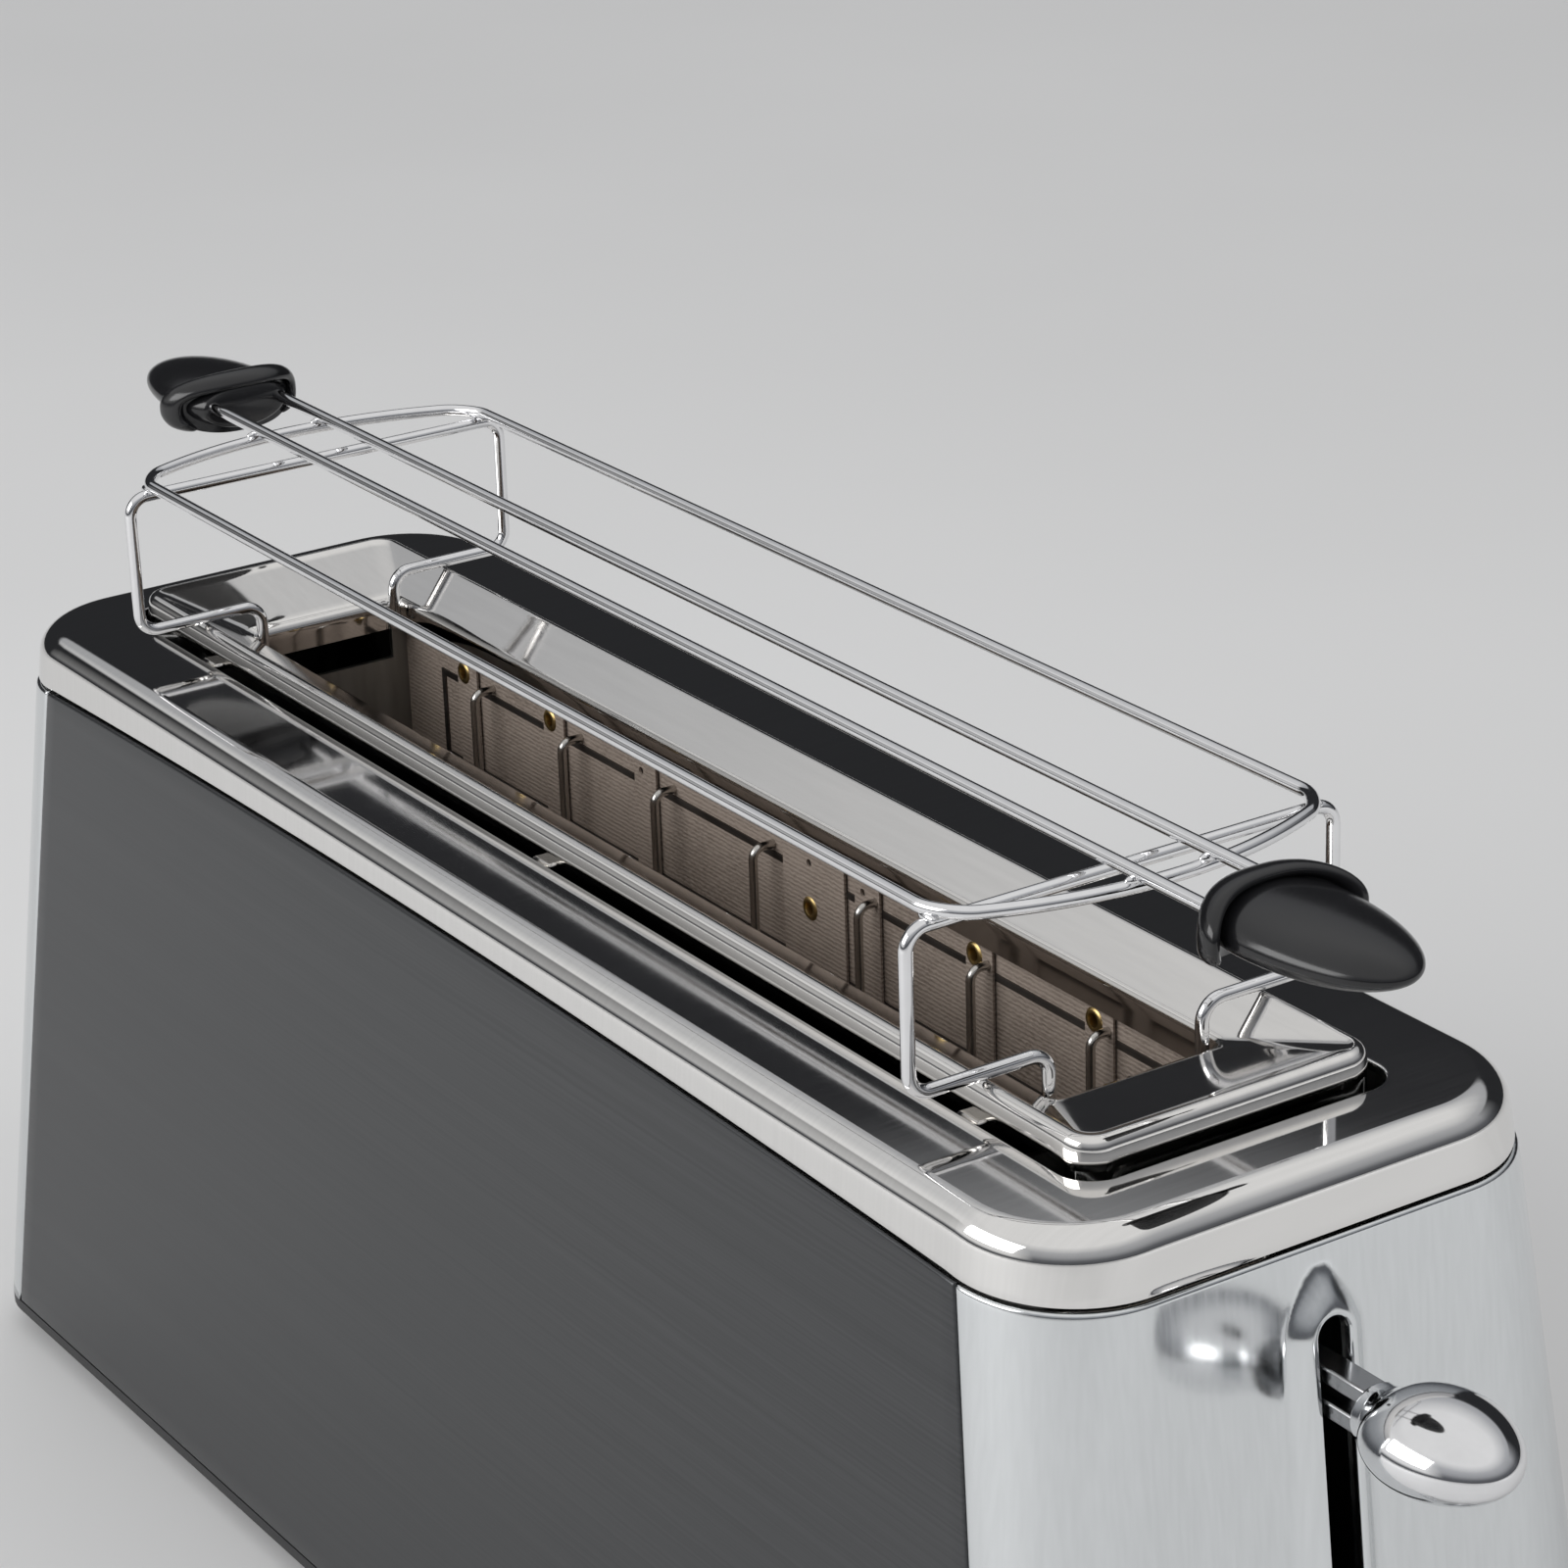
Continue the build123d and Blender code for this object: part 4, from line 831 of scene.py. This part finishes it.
# Slot bezel: a collar pressed from bright sheet that stands in the cover's opening on six tabs.
# Its rim is rolled over, and its faces slope in to a slot edge that is rolled down.
bezel_steel = steel("bezel_polish", (0.8, 0.785, 0.765), 0.05, (40, 500, 500), 0.05, 0.006, 0.03)
throat, slope_top, rim, wall = (143.0, 18.0, 3.0), (166.1, 27.9, 3.4), (169.0, 30.8, 6.0), 1.2
lip_share = np.array([0, 0, 0, 0.012, 0.045, 0.1])
lip_z = np.array([167.0, 170.5, 172.0, 173.0, 173.75, 174.15])
slope_share = np.linspace(0.16, 1, 12)
slope_z = 174.15 + (178.62 - 174.15) * (slope_share - 0.1) / 0.9
rim_inset = np.array([2.45, 2.0, 1.45, 0.9, 0.45, 0.15, 0.02, 0, 0, wall, wall])
rim_z = np.array([178.9, 179.0, 178.9, 178.6, 178.1, 177.4, 176.6, 175.8, 167.0, 167.0, 172.4])
share = np.concatenate([lip_share, slope_share])
sizes = [
    np.concatenate([low + (high - low) * share, out - rim_inset, [low + wall, low + wall]])
    for low, high, out in zip(throat, slope_top, rim)
]
bezel_z = np.concatenate([lip_z, slope_z, rim_z, [172.4, 167.0]])
x_bezel, y_bezel = rounded_ring(*(column(s) for s in sizes), corner=14)
bezel = np.stack([x_bezel, y_bezel, column(bezel_z) + 0 * x_bezel], -1)
make_piece(
    "rolled_bezel", [(bezel, grid_faces(*bezel.shape[:2], True, True))], bezel_steel,
    "body", "bezel_steel", "slot_bezel", sharp=50.0,
)
softened("bezel_standoffs", bezel_steel, 0.5)

# Warming rack: 2.5 mm chromed wire. A perimeter with bowed ends lies on two bent legs, and two
# long rails lie on the perimeter; every crossing is spot welded and leaves a small flattened nub.
wire_radius, rack_z, rail_z, leg_top, leg_foot = 1.25, 212.3, 214.8, 209.8, 180.6
frame_x, frame_y, frame_corner, leg_x, rail_y, bow_height = 143.0, 39.7, 6.0, 140.0, 7.6, 10.0
bow_radius = (frame_y**2 + bow_height**2) / (2 * bow_height)


def bow(y):
    """How far an end of the perimeter stands out at y: a circle's arc, highest in the middle."""
    return np.sqrt(bow_radius**2 - y**2) - bow_radius + bow_height


ring_x, ring_y = rounded_ring(column([frame_x]), column([frame_y]), column([frame_corner]))
end_share = np.clip((np.abs(ring_x) - frame_x + frame_corner) / frame_corner, 0, 1)
ring_x = ring_x + np.sign(ring_x) * bow(ring_y) * end_share
frame_path = np.stack([ring_x, ring_y, np.full_like(ring_x, rack_z)], -1)[0]
make_piece(
    "rack_perimeter", [wire(frame_path, wire_radius, (0, 0, 1), 20, closed=True)], chrome,
    "rack", "chrome", "rack_frame_wire",
)
rail_run = np.linspace(-181, 181, 80)
rails = [wire([(x, y, rail_z) for x in rail_run], wire_radius, (0, 0, 1), 20) for y in (-rail_y, rail_y)]
make_piece("long_rails", rails, chrome, "rack", "chrome", "rack_rails")
for end, sign in (("lever", 1), ("cord", -1)):
    half = [(16.0, 170.6), (16.0, leg_foot), (44.1, leg_foot), (44.1, leg_top)]
    corners = [(sign * leg_x, -y, z) for y, z in half] + [(sign * leg_x, y, z) for y, z in half[::-1]]
    leg = wire(bent_path(corners, 4.0), wire_radius, (1, 0, 0), 20)
    make_piece(end + "_leg_wire", [leg], chrome, "rack", "chrome", "rack_leg_" + end + "_end")
nub_profile = [(0.95 * sin(a), -2.3 * cos(a)) for a in np.linspace(0, pi, 11)]
nubs = []
for sign in (-1, 1):
    for y in (-rail_y, rail_y):
        nubs.append(turned(nub_profile, (sign * (frame_x + bow(y)), y, 213.5), (0, 1, 0), 14))
    for y in (-frame_y, frame_y):
        nubs.append(turned(nub_profile, (sign * leg_x, y, 211.05), (1, 0, 0), 14))
make_piece("weld_nubs", nubs, chrome, "rack", "chrome")

# Rack handles: black moulded grips pushed on to the rails. A domed leaf for the fingers tapers to
# its tip, and a curved collar stands round its root to keep them off the hot wire.
handle_plastic = moulded_plastic("handle_moulding", (0.009, 0.009, 0.01), 0.13, 1600.0, 0.02)
grip_start, grip_length, grip_half_width, grip_z, widest = 171.2, 39.1, 12.8, 214.1, 0.3
collar_x, collar_sweep, collar_half_width, collar_half_height, collar_z = 174.3, 5.5, 14.2, 5.6, 213.75


def squared(wave):
    """A sine or cosine to the power 0.8, keeping its sign: it makes a circle a little squarer."""
    return np.sign(wave) * np.abs(wave) ** 0.8


reach = 0.5 - 0.5 * np.cos(np.linspace(0, pi, 60))
around = np.linspace(0, 2 * pi, 72, endpoint=False)[None, :]
tip = np.clip((reach - widest) / (1 - widest), 0, 1)
root = np.clip((widest - reach) / widest, 0, 1)
half_wide = (grip_half_width * np.sqrt(1 - tip**2) * (1 - 0.3 * root**2))[:, None]
close = np.sqrt(np.clip(reach / 0.03, 0, 1))[:, None]
arc = np.sqrt(1 - ((reach - widest) / (1 - widest)) ** 2)[:, None]
rise = np.where(np.sin(around) > 0, 5.2, 5.3) * np.sin(around) * arc
leaf = np.stack(
    [
        (grip_start + grip_length * reach)[:, None] + 0 * around,
        close * half_wide * np.cos(around),
        grip_z + close * rise,
    ],
    -1,
)
# Collar: an oval section carried along a C from the near lower end over the top to the far one
course = np.linspace(radians(-50), radians(230), 64)
taper = np.clip(np.minimum(course - course[0], course[-1] - course) / radians(24), 0, 1) ** 0.5
centre = np.stack(
    [
        collar_x + collar_sweep * np.cos(course) ** 2,
        collar_half_width * squared(np.cos(course)),
        collar_z + collar_half_height * squared(np.sin(course)),
    ],
    -1,
)
out = np.stack([np.full(64, -0.25), np.cos(course), np.sin(course)], -1)
out /= np.linalg.norm(out, axis=1, keepdims=True)
section = np.linspace(0, 2 * pi, 20, endpoint=False)
deep = np.stack([np.full(64, 0.97), 0.25 * np.cos(course), 0.25 * np.sin(course)], -1)
collar = (
    centre[:, None]
    + (taper[:, None] * (0.25 + 1.4 * np.sin(section)))[..., None] * out[:, None]
    + (taper[:, None] * 3.2 * np.cos(section))[..., None] * deep[:, None]
)
# Root plate: dished rows from the middle out to the collar's line, and back on the other face
spread = np.concatenate([np.linspace(0, 1, 8), np.linspace(1, 0, 8)])[:, None]
side_of = np.repeat([0.9, -0.9], 8)[:, None]
plate = np.stack(
    [
        collar_x + collar_sweep * (spread * np.cos(around)) ** 2 + side_of,
        collar_half_width * spread * squared(np.cos(around)),
        collar_z + collar_half_height * spread * squared(np.sin(around)),
    ],
    -1,
)
for end, sign in (("lever", 1), ("cord", -1)):
    mirrored = [shell * (sign, 1, 1) for shell in (leaf, collar, plate)]
    shells = [(shell, grid_faces(*shell.shape[:2], wrap_cols=True)) for shell in mirrored]
    make_piece(
        end + "_end_grip", shells, handle_plastic, "rack", "handle_plastic",
        "rack_handle_" + end + "_end", sharp=60.0,
    )

# Studio: a pale floor under a soft dome, with a bright near window and a dark cloth behind, and two
# softboxes. The camera stands at the photograph's viewing angle, off the lever end.
floor_mesh = bpy.data.meshes.new("studio_floor")
floor_mesh.from_pydata([(-6, -6, 0), (6, -6, 0), (6, 6, 0), (-6, 6, 0)], [], [(0, 1, 2, 3)])
floor = add_object("studio_floor", floor_mesh)
floor_finish = Finish("studio_floor")
floor_tone = floor_finish.effect(handling_marks, Size=2.0)
floor_finish.feed("Base Color", floor_finish.between(floor_tone, (0.72, 0.72, 0.72), (0.75, 0.75, 0.75)))
floor_finish.shader.inputs["Roughness"].default_value = 0.7
floor_mesh.materials.append(floor_finish.material)

world = bpy.data.worlds.new("studio")
bpy.context.scene.world = world
world.use_nodes = True
sky = world.node_tree
direction = sky.nodes.new("ShaderNodeTexCoord")
split = sky.nodes.new("ShaderNodeSeparateXYZ")
ramp = sky.nodes.new("ShaderNodeValToRGB")
ramp.color_ramp.elements[0].color = (0.10, 0.105, 0.115, 1)
ramp.color_ramp.elements[1].position = 0.78
ramp.color_ramp.elements[1].color = (1.0, 1.0, 1.0, 1)
dome_tones = {0.16: (0.16, 0.165, 0.18), 0.36: (0.42, 0.43, 0.45), 0.55: (0.55, 0.56, 0.58)}
for elevation, tone in dome_tones.items():
    ramp.color_ramp.elements.new(elevation).color = (*tone, 1)
sky.links.new(direction.outputs["Generated"], split.inputs["Vector"])
sky.links.new(split.outputs["Z"], ramp.inputs["Fac"])


def hang(colour, tone, facing, side, height):
    """Lay a tone over the dome: side and height run from none to full, by facing and by elevation."""
    turned_to = sky.nodes.new("ShaderNodeVectorMath")
    turned_to.operation = "DOT_PRODUCT"
    turned_to.inputs[1].default_value = facing
    sky.links.new(direction.outputs["Generated"], turned_to.inputs[0])
    share = sky.nodes.new("ShaderNodeMath")
    share.operation = "MULTIPLY"
    for k, (value, limits) in enumerate(((turned_to.outputs["Value"], side), (split.outputs["Z"], height))):
        level = sky.nodes.new("ShaderNodeMapRange")
        level.inputs["From Min"].default_value, level.inputs["From Max"].default_value = limits
        sky.links.new(value, level.inputs["Value"])
        sky.links.new(level.outputs["Result"], share.inputs[k])
    mix = sky.nodes.new("ShaderNodeMix")
    mix.data_type = "RGBA"
    sky.links.new(share.outputs["Value"], mix.inputs["Factor"])
    sky.links.new(colour, mix.inputs[6])
    mix.inputs[7].default_value = (*tone, 1)
    return mix.outputs[2]


window = hang(ramp.outputs["Color"], (1.0, 1.0, 1.0), (-0.55, -0.835, 0), (0.5, 0.75), (0.04, 0.14))
cloth = hang(window, (0.03, 0.031, 0.034), (-0.84, 0.543, 0), (0.15, 0.55), (0.475, 0.44))
sky.links.new(cloth, sky.nodes["Background"].inputs["Color"])
sky.nodes["Background"].inputs["Strength"].default_value = 0.8


def softbox(name, place, target, width, height, power, mirrored):
    """A rectangular area lamp at a place, facing a target, and seen in bright surfaces if mirrored."""
    lamp = bpy.data.lights.new(name, "AREA")
    lamp.shape = "RECTANGLE"
    lamp.size, lamp.size_y, lamp.energy = width, height, power
    box = add_object(name, lamp)
    box.location = place
    box.visible_glossy = mirrored
    box.rotation_euler = (Vector(target) - Vector(place)).to_track_quat("-Z", "Y").to_euler()


softbox("near_softbox", (-0.3, -1.6, 1.1), (0, 0, 0.1), 1.6, 0.9, 18.0, True)
softbox("lever_softbox", (1.6, 0.9, 0.9), (0.1, 0, 0.1), 1.2, 0.9, 10.0, False)

yaw, pitch, roll = radians(147.175), radians(21.821), radians(-1.990)
ahead = Vector((cos(pitch) * cos(yaw), cos(pitch) * sin(yaw), -sin(pitch)))
level = Vector((sin(yaw), -cos(yaw), 0))
lifted = level.cross(ahead)
right = level * cos(roll) + lifted * sin(roll)
upward = lifted * cos(roll) - level * sin(roll)
camera = add_object("camera", bpy.data.cameras.new("camera"))
turn = Matrix((right, upward, -ahead)).transposed().to_4x4()
camera.matrix_world = Matrix.Translation((0.68528 + middle_x * 0.001, -0.41771, 0.50021)) @ turn
camera.data.sensor_width = 36.0
camera.data.lens = 104.28
bpy.context.scene.camera = camera
bpy.context.scene.view_settings.view_transform = "Standard"
